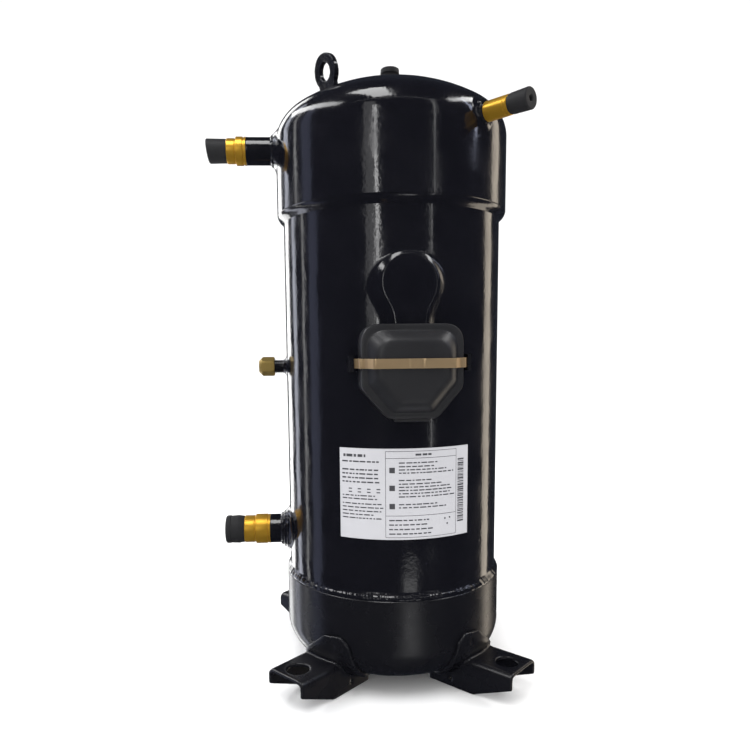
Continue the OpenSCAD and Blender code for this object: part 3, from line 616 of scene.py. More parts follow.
@dataclass
class Can:
    """Main shell with its raised power boss, two dished caps and their welds, in millimetres."""

    radius: float = 104.0
    wall: float = 4.0
    bottom: float = 45.0
    top: float = 440.0
    cap_radius: float = 109.8
    cap_wall: float = 5.8
    cap_edge: float = 415.0
    cap_tangent: float = 483.0
    cap_knuckle: float = 30.0
    dome_top: float = 536.0
    foot_cap_radius: float = 107.2
    foot_cap_wall: float = 3.2
    foot_cap_edge: float = 68.0
    foot_cap_tangent: float = 20.0
    foot_cap_knuckle: float = 34.0
    foot_cap_bottom: float = -24.0
    boss_face: float = 113.0
    boss_slope: float = 0.95
    pad_height: float = 268.0
    pad_radius: float = 26.0
    bulb_height: float = 342.0
    bulb_radius: float = 19.0
    neck_half: float = 12.0
    terminal_radius: float = 21.0
    boss_lean: float = 0.1
    lean_height: float = 292.0
    boss_low: float = 226.0
    boss_high: float = 380.0
    boss_spread: float = 27.0
    steps: int = 192

    def outline_distance(self, x: np.ndarray, z: np.ndarray) -> np.ndarray:
        """Distance outside the boss plateau's outline, negative within it.

        Args:
            x: Places across the boss.
            z: Heights.

        Returns:
            The distances.
        """
        bulb = np.hypot(x, z - self.bulb_height) - self.bulb_radius
        pad = np.hypot(x, z - self.pad_height) - self.pad_radius
        middle = (self.bulb_height + self.pad_height) / 2
        half = (self.bulb_height - self.pad_height) / 2
        dx, dz = np.abs(x) - self.neck_half, np.abs(z - middle) - half
        neck = np.hypot(np.maximum(dx, 0), np.maximum(dz, 0)) + np.minimum(np.maximum(dx, dz), 0)
        return -smooth_max(smooth_max(-bulb, -neck, 9.0), -pad, 9.0)

    def front(self, x: np.ndarray, z: np.ndarray, skin: float, crisp: float = 1.0) -> np.ndarray:
        """Distance in front of the axis of the shell's surface with the boss.

        Args:
            x: Places across the can.
            z: Heights.
            skin: How far the surface is moved outward.
            crisp: Scale of the rounding at the boss's edges.

        Returns:
            The distances.
        """
        base = np.sqrt(np.maximum((self.radius + skin) ** 2 - x * x, 0))
        away = self.outline_distance(x, z) - 0.5 * skin
        face = self.boss_face + skin
        slope = face - smooth_ramp(away, 1.6 * crisp) / self.boss_slope
        plane = face - self.boss_lean * smooth_ramp(z - self.lean_height, 8.0)
        plateau = -smooth_max(-slope, -plane, 1.8 * crisp)
        return smooth_max(base, plateau, 2.0 * crisp)

    def sheet(self, angles: np.ndarray, heights: np.ndarray, skin: float) -> np.ndarray:
        """Points of the shell's surface, in millimetres.

        Args:
            angles: Angles from the boss's middle.
            heights: Heights, in millimetres.
            skin: How far the surface is moved outward.

        Returns:
            One row of points for each height.
        """
        turn, z = np.meshgrid(angles, heights)
        reach = self.radius + skin
        x, y = reach * np.sin(turn), -reach * np.cos(turn)
        near = np.abs(x) < 50
        y = np.where(near & (y < 0), -self.front(x, z, skin), y)
        return np.stack([x, y, z], -1)

    def main_shell(self) -> bpy.types.Object:
        """Makes the rolled shell with its pressed boss and terminal hole.

        Returns:
            The shell.
        """
        low, high, edge = self.boss_low, self.boss_high, self.boss_spread
        close = np.radians(np.arange(-edge, edge + 0.01, 0.5))
        far = np.radians(np.arange(edge + 3, 357.01 - edge, 3))
        angles = np.concatenate([close, far, [close[0] + math.tau]])
        fine = np.concatenate([np.arange(self.bottom, low, 12), np.arange(low, high, 1.0),
                               np.linspace(high + 2, self.top, 8)])
        coarse = np.concatenate([np.linspace(self.top, high - 4, 5),
                                 np.arange(high - 6, low + 2, -2.0),
                                 np.linspace(low - 2, self.bottom, 8)])
        points = np.concatenate([
            self.sheet(angles, fine, 0.0),
            self.sheet(angles, coarse, -self.wall),
            self.sheet(angles, fine[:1], 0.0),
        ])
        shell = woven("main_shell_look", points)
        deselect()
        bpy.ops.mesh.primitive_cylinder_add(
            vertices=64,
            radius=self.terminal_radius * MM,
            depth=40 * MM,
            location=(0, -self.boss_face * MM, self.pad_height * MM),
            rotation=(math.pi / 2, 0, 0),
        )
        cut(shell, bpy.context.object)
        tidy_mesh(shell, 30.0, outward=False)
        shell.data.transform(TERMINAL_TURN)
        return shell

    def upper_cap(self) -> bpy.types.Object:
        """Makes the upper cap, which slips over the shell.

        Returns:
            The cap.
        """
        rise = self.dome_top - self.cap_tangent
        wide, edge, start, w = self.cap_radius, self.cap_edge, self.cap_tangent, self.cap_wall
        outer = [(wide - 0.9, edge), (wide, edge + 0.9)]
        outer += [(wide, z) for z in np.linspace(edge + 12, start - 8, 5)]
        outer += [(r, start + z) for r, z in dished(wide, self.cap_knuckle, rise)]
        inside = dished(wide - w, self.cap_knuckle - w, rise - w, 8)
        inner = [(wide - w, edge), *((r, start + z) for r, z in inside)]
        return turned("upper_cap_look", outer + inner[::-1], steps=self.steps)

    def lower_cap(self) -> bpy.types.Object:
        """Makes the lower cap, which holds the oil.

        Returns:
            The cap.
        """
        drop = self.foot_cap_tangent - self.foot_cap_bottom
        wide, edge = self.foot_cap_radius, self.foot_cap_edge
        start, w = self.foot_cap_tangent, self.foot_cap_wall
        outer = [(wide - 0.8, edge), (wide, edge - 0.9)]
        outer += [(wide, edge - z) for z in (10.0, 24.0, 36.0)]
        outer += [(r, start - z) for r, z in dished(wide, self.foot_cap_knuckle, drop, 20)]
        inside = dished(wide - w, self.foot_cap_knuckle - w, drop - w, 8)
        inner = [(wide - w, edge), *((r, start - z) for r, z in inside)]
        return turned("lower_cap_look", outer + inner[::-1], steps=self.steps)

    def seam(
        self, name: str, section: list[Pair], free: slice, waves: int, rough: float,
        seed: int,
    ) -> bpy.types.Object:
        """Runs a weld bead round the can.

        Args:
            name: The piece's name.
            section: Radius and height round the bead, in millimetres.
            free: The points of the section that show and ripple.
            waves: Ripples in a turn.
            rough: Height of the ripples.
            seed: Seed of the ripples.

        Returns:
            The bead.
        """
        angles = np.linspace(0, math.tau, 1081)
        rows = []
        for i, (radius, height) in enumerate([*section, section[0]]):
            index = i % len(section)
            lift = np.zeros_like(angles)
            if free.start <= index < free.stop:
                lift = rough * ripple(angles + 0.004 * index, waves, seed)
                lift += 0.5 * rough * ripple(angles, waves // 3, seed + index)
            lift[-1] = lift[0]
            rows.append(around(radius + lift, angles, height + 0.6 * lift))
        return woven(name, np.array(rows), 60.0)

    def build(self) -> None:
        """Builds the can's five pieces. A bead's section starts inside the sheets."""
        install(self.main_shell(), "main_shell")
        install(self.upper_cap(), "upper_cap")
        install(self.lower_cap(), "lower_cap")
        r, edge, out = self.radius, self.cap_edge, self.cap_radius
        under = [(r - 0.3, edge + 0.3), (out - 0.5, edge + 0.3), (out - 0.8, edge - 1.2),
                 (r + 4.0, edge - 2.8), (r + 2.2, edge - 4.4), (r + 0.9, edge - 5.8),
                 (r - 0.3, edge - 7.0)]
        install(self.seam("upper_weld_look", under, slice(2, 6), 170, 0.07, 3), "upper_weld")
        low, wide = self.foot_cap_edge, self.foot_cap_radius
        over = [(r - 0.3, low - 0.3), (wide - 0.3, low - 0.3), (wide, low + 0.6),
                (wide + 0.1, low + 1.6), (wide - 0.3, low + 2.7), (r + 1.9, low + 3.8),
                (r + 0.8, low + 5.0), (r + 0.3, low + 6.4), (r - 0.3, low + 7.4)]
        install(self.seam("lower_weld_look", over, slice(2, 7), 210, 0.2, 11), "lower_weld")


def cut(obj: bpy.types.Object, tool: bpy.types.Object) -> None:
    """Cuts a tool's solid out of a piece and removes the tool."""
    modified(obj, "BOOLEAN", operation="DIFFERENCE", solver="EXACT", object=tool)
    bpy.data.objects.remove(tool)


# ---------------------------------------------------------------- what stands on the can


@dataclass
class Stub:
    """One pipe stub: its pulled neck, weld beads, tube, sleeve and transit plug.

    Sizes are in millimetres, and lengths run from the can's axis out. A bead is its start, its
    end and how proud it stands. power bends the neck's flare, and slant is the slope of the
    plug's cut end, over its last trimmed millimetres.
    """

    label: str
    azimuth: float
    height: float
    radius: float
    bore: float
    root: float
    sleeve_start: float
    neck_radius: float
    neck_tip: float
    neck_top: float
    beads: tuple[Corner, ...]
    sleeve: list[Corner]
    plug: list[Corner]
    on_cap: bool = True
    power: float = 1.9
    slant: float = 0.0
    trimmed: float = 3.5

    @property
    def place(self) -> Matrix:
        """Placement of the stub's axis."""
        turn = math.radians(self.azimuth)
        return on_axis(Vector((math.cos(turn), math.sin(turn), 0)), self.height * MM)

    def crown(self, across: np.ndarray, down: np.ndarray) -> np.ndarray:
        """Distance from the can's axis to its surface, beside the stub's axis.

        Args:
            across: Level distance from the stub's axis.
            down: Distance below the stub's axis.

        Returns:
            The distances, in millimetres.
        """
        can = Can()
        if not self.on_cap:
            return np.sqrt(np.maximum(can.radius**2 - across**2, 1.0))
        above = np.maximum(self.height - down - can.cap_tangent, 0)
        flat = can.cap_radius - can.cap_knuckle
        level = flat + np.sqrt(np.maximum(can.cap_knuckle**2 - above**2, 0))
        return np.sqrt(np.maximum(level**2 - across**2, 1.0))

    def neck(self) -> bpy.types.Object:
        """Makes the neck that flares from the tube into the can.

        Returns:
            The neck.
        """
        turn = np.linspace(0, math.tau, 97)
        rows = []
        reach = np.linspace(self.neck_radius, self.neck_tip, 15)
        for k, rho in enumerate(reach):
            rise = (k / (len(reach) - 1)) ** self.power
            down, across = rho * np.cos(turn), rho * np.sin(turn)
            base = self.crown(across, down) - (0.25 if k == 0 else 0.0)
            rows.append(np.stack([down, across, base + (self.neck_top - base) * rise], -1))
        rows += [around(self.radius - 0.3, turn, sink) for sink in (self.neck_top, self.root)]
        down, across = self.neck_radius * np.cos(turn), self.neck_radius * np.sin(turn)
        rows.append(np.stack([down, across, self.crown(across, down) - 2.5], -1))
        rows.append(rows[0])
        return woven(f"{self.label}_neck", np.array(rows), 50.0)

    def bead(self, start: float, end: float, proud: float, seed: int) -> bpy.types.Object:
        """Makes one lumpy weld ridge round the tube.

        Args:
            start: Start of the bead along the tube.
            end: End of the bead.
            proud: Height of the bead above the tube.
            seed: Seed of its lumps.

        Returns:
            The bead.
        """
        turn = np.linspace(0, math.tau, 145)
        lumps = ripple(turn, 17, seed)
        lumps[-1] = lumps[0]
        rows = []
        for k in range(9):
            bulge = math.sin(math.pi * k / 8)
            pits = ripple(turn, 29, seed * 9 + k // 2)
            pits[-1] = pits[0]
            rho = self.radius - 0.4 + (proud + 0.4) * bulge * (1 + 0.12 * lumps)
            rho = rho + 0.5 * pits * bulge
            along = start + (end - start) * k / 8 + 0.6 * lumps * bulge
            rows.append(around(rho, turn, along))
        rows.append(rows[0])
        return woven(f"{self.label}_bead_{seed}", np.array(rows), 60.0)

    def tube(self) -> bpy.types.Object:
        """Makes the tube from inside the can to the sleeve.

        Returns:
            The tube.
        """
        outline = corner_path(
            [(self.bore, self.root, 0), (self.radius, self.root, 0),
             (self.radius, self.sleeve_start, 0.5), (self.bore, self.sleeve_start, 0)],
        )
        middle = [(self.radius, z) for z in np.linspace(self.root + 3, self.sleeve_start - 2, 6)]
        outline = [outline[0], outline[1], *middle, *outline[2:]]
        return turned(f"{self.label}_tube", outline)

    def lathe(self, name: str, outline: list[Corner]) -> bpy.types.Object:
        """Turns one closed outline about the stub's axis."""
        return turned(name, corner_path(outline), self.place)

    def trimmed_plug(self) -> bpy.types.Object:
        """Turns the plug, with its end cut a little aslant.

        Returns:
            The plug.
        """
        plug = self.lathe(f"{self.label}_plug_look", self.plug)
        if self.slant:
            back = self.place.inverted()
            tip = max(z for _, z, _ in self.plug) * MM
            widest = max(r for r, _, _ in self.plug) * MM
            for vertex in plug.data.vertices:
                local = back @ vertex.co
                if local.z > tip - self.trimmed * MM:
                    local.z -= self.slant * (local.x + widest)
                    vertex.co = self.place @ local
        return plug

    def build(self) -> None:
        """Builds the stub's three pieces."""
        parts = [self.tube(), self.neck()]
        parts += [self.bead(*bead, seed + 1) for seed, bead in enumerate(self.beads)]
        stub = joined(f"{self.label}_stub_look", parts)
        stub.data.transform(self.place)
        install(stub, f"{self.label}_stub")
        install(self.lathe(f"{self.label}_sleeve_look", self.sleeve), f"{self.label}_sleeve")
        install(self.trimmed_plug(), f"{self.label}_plug")


def sleeve_outline(
    bore: float, spigot: float, start: float, end: float, steps: list[Corner]
) -> list[Corner]:
    """Outline of a sleeve from its spigot out, with the steps of its outside.

    Args:
        bore: Radius of the bore.
        spigot: Radius of the spigot in the tube.
        start: Where the sleeve shows.
        end: Its outer end.
        steps: Radius, place and corner radius of each outer corner.

    Returns:
        Radius, place and corner radius round the outline.
    """
    inner = [(bore, start - 10, 0.0), (spigot, start - 10, 0.3), (spigot, start, 0.0)]
    return [*inner, *steps, (bore, end, 0.3)]


def stubs() -> list[Stub]:
    """Lists the three pipe stubs.

    Returns:
        The suction, equaliser and discharge stubs.
    """
    suction = Stub(
        "suction", azimuth=180, height=478, radius=12.7, bore=10.9, root=100, sleeve_start=138,
        neck_radius=24, neck_tip=14.6, neck_top=112.6,
        beads=((110.6, 115.2, 2.1), (107.6, 112.2, 4.2)),
        sleeve=sleeve_outline(9.3, 10.8, 138, 156.5, [
            (12.9, 138, 0.3), (12.9, 139.8, 0.3), (12.3, 140.0, 0.1), (12.3, 141.0, 0.1),
            (13.1, 141.2, 0.3), (13.1, 147.6, 0.4), (11.3, 148.0, 0.2), (11.3, 148.7, 0.2),
            (11.6, 149.0, 0.2), (11.6, 156.0, 0.4), (11.1, 156.5, 0.2)]),
        plug=[(0, 144.5, 0), (9.2, 144.5, 0.5), (9.2, 156.5, 0.1), (11.0, 156.6, 0.4),
              (11.0, 160, 2), (11.3, 175.3, 1.6), (10.3, 176.5, 1.2), (7.6, 176.3, 1.0),
              (7.0, 175.9, 0.4), (0, 175.9, 0)],
        slant=0.12,
    )
    equaliser = Stub(
        "equaliser", azimuth=180, height=107.5, radius=14.5, bore=12.7, root=97, sleeve_start=124,
        neck_radius=26, neck_tip=16.4, neck_top=110.8,
        beads=((109.4, 113.6, 1.9), (106.8, 111.2, 3.9), (103.6, 108.2, 6.4)),
        sleeve=sleeve_outline(11.1, 12.6, 124, 150, [
            (14.7, 124, 0.3), (14.7, 125.6, 0.3), (14.2, 125.8, 0.1), (14.2, 126.6, 0.1),
            (14.9, 126.8, 0.3), (14.9, 138.6, 0.4), (13.2, 139.1, 0.2), (13.2, 139.8, 0.2),
            (13.6, 140.1, 0.2), (13.6, 149.5, 0.4), (13.1, 150, 0.2)]),
        plug=[(0, 138, 0), (11.0, 138, 0.5), (11.0, 150, 0.1), (13.2, 150.1, 0.4),
              (14.1, 156, 3), (13.8, 162.5, 0.8), (13.6, 163.5, 0.3), (14.1, 164.2, 0.4),
              (14.0, 167.8, 1.6), (12.8, 169, 1.2), (8.8, 168.8, 1.0), (8.2, 168.4, 0.4),
              (0, 168.4, 0)],
        on_cap=False,
    )
    discharge = Stub(
        "discharge", azimuth=-50, height=486, radius=7.95, bore=6.75, root=99, sleeve_start=114,
        neck_radius=15, neck_tip=9.0, neck_top=111.6,
        beads=((110.6, 114, 1.6), (107.4, 111.6, 3.0)),
        sleeve=sleeve_outline(5.55, 6.65, 114, 136.5, [
            (8.25, 114, 0.3), (8.25, 132.6, 0.2), (8.0, 132.9, 0.1), (8.0, 133.4, 0.1),
            (8.2, 133.7, 0.2), (8.2, 136.1, 0.3), (7.8, 136.5, 0.2)]),
        plug=[(0, 124.5, 0), (5.45, 124.5, 0.4), (5.45, 136.5, 0.1), (7.7, 136.6, 0.4),
              (8.3, 139, 1.5), (8.75, 154.6, 1.0), (8.1, 155.5, 0.9), (3.1, 155.4, 0.2),
              (2.4, 154.6, 0.2), (2.3, 148.5, 0.2), (0, 148.2, 0)],
    )
    return [suction, equaliser, discharge]


@dataclass
class ServicePort:
    """Small charging port with its ridged neck and hexagon cap, in millimetres.

    nose and tail are the radius and the slope of the cap's two chamfers.
    """

    height: float = 272.5
    neck: float = 5.9
    neck_end: float = 126.3
    cap_start: float = 116.0
    cap_end: float = 131.3
    cap_radius: float = 9.6
    cap_bore: float = 6.0
    cap_floor: float = 128.6
    ridges: int = 5
    ridge_start: float = 107.2
    ridge_pitch: float = 1.75
    ridge_crest: float = 6.5
    ridge_root: float = 5.7
    nose: Pair = (8.3, 1.3)
    tail: Pair = (6.0, 0.92)

    def fitting(self) -> bpy.types.Object:
        """Makes the flared and ridged neck.

        Returns:
            The neck.
        """
        place = on_axis(Vector((-1, 0, 0)), self.height * MM)
        ridges: list[Corner] = []
        crest, root = self.ridge_crest, self.ridge_root
        for k in range(self.ridges):
            z = self.ridge_start + self.ridge_pitch * k
            ridges += [(crest, z, 0.3), (crest, z + 0.9, 0.3), (root, z + 1.2, 0.2),
                       (root, z + 1.55, 0.2)]
        outline = [(2.0, 97.5, 0), (2.9, 97.5, 0), (2.9, 101.5, 0), (12.2, 102.6, 0),
                   (11.4, 103.8, 1.0), (9.2, 104.5, 1.0), (7.6, 106.0, 1.0), *ridges,
                   (self.neck, 116, 0.2), (self.neck, self.neck_end - 0.6, 0.2),
                   (self.neck - 0.6, self.neck_end, 0.2), (3.2, self.neck_end, 0.2),
                   (3.2, 114.3, 0), (2.0, 114.3, 0)]
        return turned("service_fitting_look", corner_path(outline, 3), place, 80)

    def cap(self) -> bpy.types.Object:
        """Makes the hexagon cap with chamfered ends.

        Returns:
            The cap.
        """
        turn = np.linspace(0, math.tau, 97)
        flat = self.cap_radius * math.cos(math.pi / 6)
        wedge = (turn + math.pi / 6) % (math.pi / 3) - math.pi / 6
        hexagon = flat / np.cos(np.pi / 6 - np.abs(wedge))
        hexagon = np.minimum(hexagon, self.cap_radius - 0.15)
        start, end = self.cap_start, self.cap_end
        rows = []
        levels = [np.linspace(start, start + 3, 10), np.linspace(start + 4, end - 4, 4),
                  np.linspace(end - 3.4, end, 12)]
        for z in np.concatenate(levels):
            nose = self.nose[0] + self.nose[1] * (z - start)
            tail = self.tail[0] + self.tail[1] * (end - z)
            rho = np.minimum(np.minimum(hexagon, nose), tail)
            rows.append(around(rho, turn, z))
        for rho, z in ((5.4, end), (4.6, end - 0.35), (0.0, end - 0.4), (0.0, self.cap_floor),
                       (self.cap_bore, self.cap_floor), (self.cap_bore, start + 0.6),
                       (self.cap_bore + 0.5, start)):
            rows.append(around(rho, turn, z))
        rows.append(rows[0])
        cap = woven("service_cap_look", np.array(rows), 24.0)
        mark_along(cap)
        cap.data.transform(on_axis(Vector((-1, 0, 0)), self.height * MM))
        return cap

    def build(self) -> None:
        """Builds the neck and the cap."""
        install(self.fitting(), "service_fitting")
        install(self.cap(), "service_cap")


@dataclass
class DomeTop:
    """Sensor well with its rubber plug, and the lifting eye, in millimetres."""

    top: float = 536.0
    well: float = 7.0
    bore: float = 5.5
    rise: float = 6.0
    lug_azimuth: float = 215.0
    lug_reach: float = 76.5
    lug_root: float = 514.6
    lug_thick: float = 5.2
    blobs: int = 9
    blob_pitch: float = 2.7

    def well_tube(self) -> bpy.types.Object:
        """Makes the well with a weld fillet at its root.

        Returns:
            The well.
        """
        t = self.top
        r, tip = self.well, self.top + self.rise
        outline = [(0, t - 16, 0), (r, t - 16, 0), (r, t - 2, 0), (10.4, t - 0.6, 0),
                   (9.6, t + 0.5, 0.8), (7.7, t + 1.6, 0.9), (r, t + 3.4, 0.8), (r, tip, 0.5),
                   (self.bore, tip, 0.2), (self.bore, t - 14, 0), (0, t - 14, 0)]
        return turned("sensor_well_look", corner_path(outline))

    def plug(self) -> bpy.types.Object:
        """Makes the rubber plug's rolled head and shank.

        Returns:
            The plug.
        """
        base = self.top + self.rise
        shank = self.bore - 0.1
        outline = [(0, self.top - 8, 0), (shank, self.top - 8, 0.6), (shank, base, 0),
                   (7.6, base + 0.05, 0.6), (7.8, base + 1.4, 1.0), (7.5, base + 3.2, 0.7),
                   (7.6, base + 6.0, 1.0), (9.0, base + 7.0, 0.8), (8.8, base + 11.4, 1.3),
                   (6.8, base + 12.0, 0.8), (0, base + 12.0, 0)]
        return turned("sensor_plug_look", corner_path(outline))

    def eye(self) -> bpy.types.Object:
        """Makes the lifting eye with the weld round its root.

        Returns:
            The eye.
        """
        lug = copied("lifting_lug", "lifting_lug_look")
        draw = np.random.default_rng(5)
        turn = math.radians(self.lug_azimuth)
        out = Vector((math.cos(turn), math.sin(turn), 0))
        side = Vector((-out.y, out.x, 0))
        parts = [lug]
        for face in (-1, 1):
            for k in range(self.blobs):
                across = (k - self.blobs // 2) * self.blob_pitch
                spot = out * (self.lug_reach + face * self.lug_thick / 2 + 2.0) + side * across
                deselect()
                size = draw.uniform(1.9, 2.6) * MM
                spot.z = self.lug_root - face * 1.1 + draw.uniform(-0.3, 0.3)
                bpy.ops.mesh.primitive_ico_sphere_add(
                    subdivisions=3, radius=size, location=spot * MM
                )
                blob = bpy.context.object
                blob.data.transform(blob.matrix_world)
                blob.matrix_world = Matrix.Identity(4)
                parts.append(blob)
        return softened(joined("lifting_lug_look", parts), 0.55, 5)

    def build(self) -> None:
        """Builds the three pieces."""
        install(self.well_tube(), "sensor_well")
        install(self.plug(), "sensor_well_plug")
        install(self.eye(), "lifting_lug")


def reach_of(points: np.ndarray) -> np.ndarray:
    """Returns each point's distance from the can's axis."""
    return np.hypot(points[:, 0], points[:, 1])


@dataclass
class Feet:
    """Four pressed channel feet: one is shaped and the others are its turned or mirrored copies."""

    voxel: float = 1.0
    passes: int = 9
    saddle_passes: int = 90
    azimuth: float = 225.0
    dimples: tuple[Pair, ...] = ((18.0, 20.0), (30.0, -2.0))
    dimple_radius: float = 3.2
    dimple_depth: float = 0.8
    dimple_reach: float = 112.0
    sink: float = 2.2
    melt_gap: float = 1.3
    saddle_reach: float = 104.0
    saddle_low: float = -14.0
    saddle_fade: float = 12.0

    def shaped(self) -> bpy.types.Object:
        """Melts the front left foot's sheet edges, folds and flare, and adds its dimples.

        Returns:
            The foot.
        """
        foot = copied("foot_front_left", "foot_front_left_look")
        softened(foot, self.voxel, self.passes)
        mesh = foot.data
        points = np.empty(len(mesh.vertices) * 3, np.float32)
        mesh.vertices.foreach_get("co", points)
        points = points.reshape(-1, 3) / MM
        # The foot's own axes: out from the can, and sideways.
        turn = math.radians(self.azimuth)
        reach = points[:, 0] * math.cos(turn) + points[:, 1] * math.sin(turn)
        side = -points[:, 0] * math.sin(turn) + points[:, 1] * math.cos(turn)
        tall = points[:, 2]
        for at_side, at_z in self.dimples:
            near = np.exp(-(((side - at_side) ** 2 + (tall - at_z) ** 2) / self.dimple_radius**2))
            near = np.where(reach < self.dimple_reach, near, 0) * self.dimple_depth
            points[:, 0] -= near * math.cos(turn)
            points[:, 1] -= near * math.sin(turn)
        # The tongue's back sinks into the cap, so that its edges melt into it.
        can = Can()
        knuckle = can.foot_cap_knuckle
        level = np.minimum(tall - can.foot_cap_tangent, 0)
        span = np.maximum(reach_of(points) - (can.foot_cap_radius - knuckle), 0.01)
        gap = np.hypot(span, level) - knuckle
        sink = np.where((gap < self.melt_gap) & (tall > can.foot_cap_bottom), self.sink, 0.0)
        inward = (sink * span / knuckle)[:, None]
        points[:, :2] -= points[:, :2] / reach_of(points)[:, None] * inward
        points[:, 2] -= sink * level / knuckle
        mesh.vertices.foreach_set("co", (points * MM).reshape(-1).astype(np.float32))
        mesh.update()
        saddle = foot.vertex_groups.new(name="saddle")
        soft = np.clip((self.saddle_reach - reach) / self.saddle_fade, 0, 1)
        soft *= np.clip((tall - self.saddle_low) / self.saddle_fade, 0, 1)
        for index in np.nonzero(soft > 0.02)[0]:
            saddle.add([int(index)], float(soft[index]), "REPLACE")
        passes = self.saddle_passes
        modified(foot, "SMOOTH", factor=SMOOTHING, iterations=passes, vertex_group=saddle.name)
        return foot

    def build(self) -> None:
        """Builds the four feet."""
        first = self.shaped()
        for name, scale in (
            ("foot_front_left", (1, 1)),
            ("foot_front_right", (-1, 1)),
            ("foot_back_left", (1, -1)),
            ("foot_back_right", (-1, -1)),
        ):
            foot = first
            if scale != (1, 1):
                foot = bpy.data.objects.new(f"{name}_look", first.data.copy())
                bpy.context.scene.collection.objects.link(foot)
                foot.data.transform(Matrix.Diagonal((*scale, 1, 1)))
                if scale[0] * scale[1] < 0:
                    foot.data.flip_normals()
            install(foot, name)


# ---------------------------------------------------------------- terminal box


@dataclass
class TerminalBox:
    """Moulded cover with its bronze-coloured strap, drawn facing -Y, in millimetres."""

    half_width: float = 43.0
    half_height: float = 39.5
    middle: float = 270.0
    corner: float = 17.0
    chamfer_x: float = 22.0
    chamfer_z: float = 26.0
    rim: float = 119.0
    front: float = 130.0
    wall: float = 2.2
    strap_height: float = 277.0
    strap_width: float = 8.0
    strap_thick: float = 1.2
    strap_end: float = 47.5
    columns: int = 168
    tool_half: float = 56.0
    tool_gap: float = 0.5
    tool_back: float = 60.0
    crimp: Pair = (-4.6, 7.8)
    crimp_press: float = 0.45
    dimple: float = 0.35
    dimple_at: float = 1.5
    dimple_size: float = 1.1
    tab: Corner = (30.5, 9.0, 4.2)

    def ring(self, inset: float, depth: float, corner: float) -> np.ndarray:
        """One ring of the cover, evenly divided.

        Args:
            inset: Distance inside the rim's outline.
            depth: Distance in front of the can's axis.
            corner: Radius of the upper corners.

        Returns:
            The ring's points, in millimetres, with the first repeated at the end.
        """
        w, h = self.half_width - inset, self.half_height - inset
        cx, cz = self.chamfer_x - 0.3 * inset, self.chamfer_z - 0.3 * inset
        low = max(10.0 - 0.4 * inset, 3.0)
        path = corner_path(
            [(-w + cx, -h, low), (w - cx, -h, low), (w, -h + cz, low), (w, h, corner),
             (-w, h, corner), (-w, -h + cz, low)], 10
        )
        line = np.array([*path, path[0]])
        walked = np.concatenate([[0], np.cumsum(np.hypot(*np.diff(line, axis=0).T))])
        at = np.linspace(0, walked[-1], self.columns + 1)
        x, z = np.interp(at, walked, line[:, 0]), np.interp(at, walked, line[:, 1])
        return np.stack([x, np.full_like(x, -depth), z + self.middle], -1)

    def shell_tool(self) -> bpy.types.Object:
        """Makes the solid of the can and its boss with clearance, to cut the cover with.

        Returns:
            The cutting tool.
        """
        across = np.linspace(-self.tool_half, self.tool_half, 113)
        x, z = np.meshgrid(across, np.linspace(self.middle - 48, self.middle + 50, 99))
        front = np.stack([x, -Can().front(x, z, 0.0, 0.35) - self.tool_gap, z], -1)
        back = front.copy()
        back[..., 1] = -self.tool_back
        parts = [woven("shell_tool", np.concatenate([back[:1], front, back[-1:]], 0))]
        for column in (0, -1):
            edge = np.stack([front[:, column], back[:, column]], 1)
            parts.append(woven(f"tool_end_{column}", edge))
        parts.append(woven("tool_rear", back[[0, -1]][:, [0, -1]]))
        tool = joined("shell_tool", parts)
        tidy_mesh(tool, 30.0)
        return tool

    def cover(self) -> bpy.types.Object:
        """Lofts the cover's outside and inside, and fits its back to the can.

        Each row of a table is a ring's inset, depth and upper corner radius.

        Returns:
            The cover.
        """
        out = [(0.0, 92.0, 17), (0.0, 110.0, 17), (0.0, 116.0, 17), (0.15, 117.9, 17),
               (0.5, 118.7, 17), (1.2, 119.0, 17), (3.4, 119.05, 16.5), (5.0, 119.05, 16),
               (5.5, 119.25, 16), (5.9, 119.7, 16), (6.6, 120.6, 16), (8.2, 122.9, 16.5),
               (10.2, 125.7, 17), (12.0, 127.8, 17.5), (13.6, 128.95, 18), (15.4, 129.55, 18)]
        inner = [(16.0, 127.6, 17), (13.6, 126.2, 16), (8.2, 118.0, 15),
                 (6.6, 116.9, 15), (2.2, 116.8, 15), (2.2, 110.0, 15), (2.2, 92.0, 15)]
        rings = [self.ring(*row) for row in out]
        hub = np.array([0.0, 0.0, self.middle])
        # The middle closes in rings that shrink to the hub, outside first and then inside.
        middle = ((0.86, 129.75), (0.66, 129.85), (0.4, 129.9), (0.15, 129.9), (0, 129.9),
                  (0, 127.7), (0.5, 127.7))
        last, _, corner = out[-1]
        for share, depth in middle:
            face = hub + (self.ring(last, 0.0, corner) - hub) * share
            face[:, 1] = -depth
            rings.append(face)
        rings += [self.ring(*row) for row in inner]
        rings.append(rings[0])
        cover = woven("terminal_cover_look", np.array(rings), 32.0)
        cut(cover, self.shell_tool())
        deselect()
        bpy.ops.mesh.primitive_cube_add(size=1)
        tab = bpy.context.object
        bpy.ops.object.mode_set(mode="EDIT")
        bpy.ops.transform.resize(value=Vector(self.tab) * MM)
        bpy.ops.mesh.select_all(action="SELECT")
        bpy.ops.mesh.bevel(offset=0.9 * MM, segments=3, affect="EDGES")
        bpy.ops.object.mode_set(mode="OBJECT")
        tab.data.transform(Matrix.Translation((0, -112.4 * MM, (self.middle - 39.9) * MM)))
        cover = joined("terminal_cover_look", [cover, tab])
        tidy_mesh(cover, 32.0, outward=False)
        cover.data.transform(TERMINAL_TURN)
        return cover

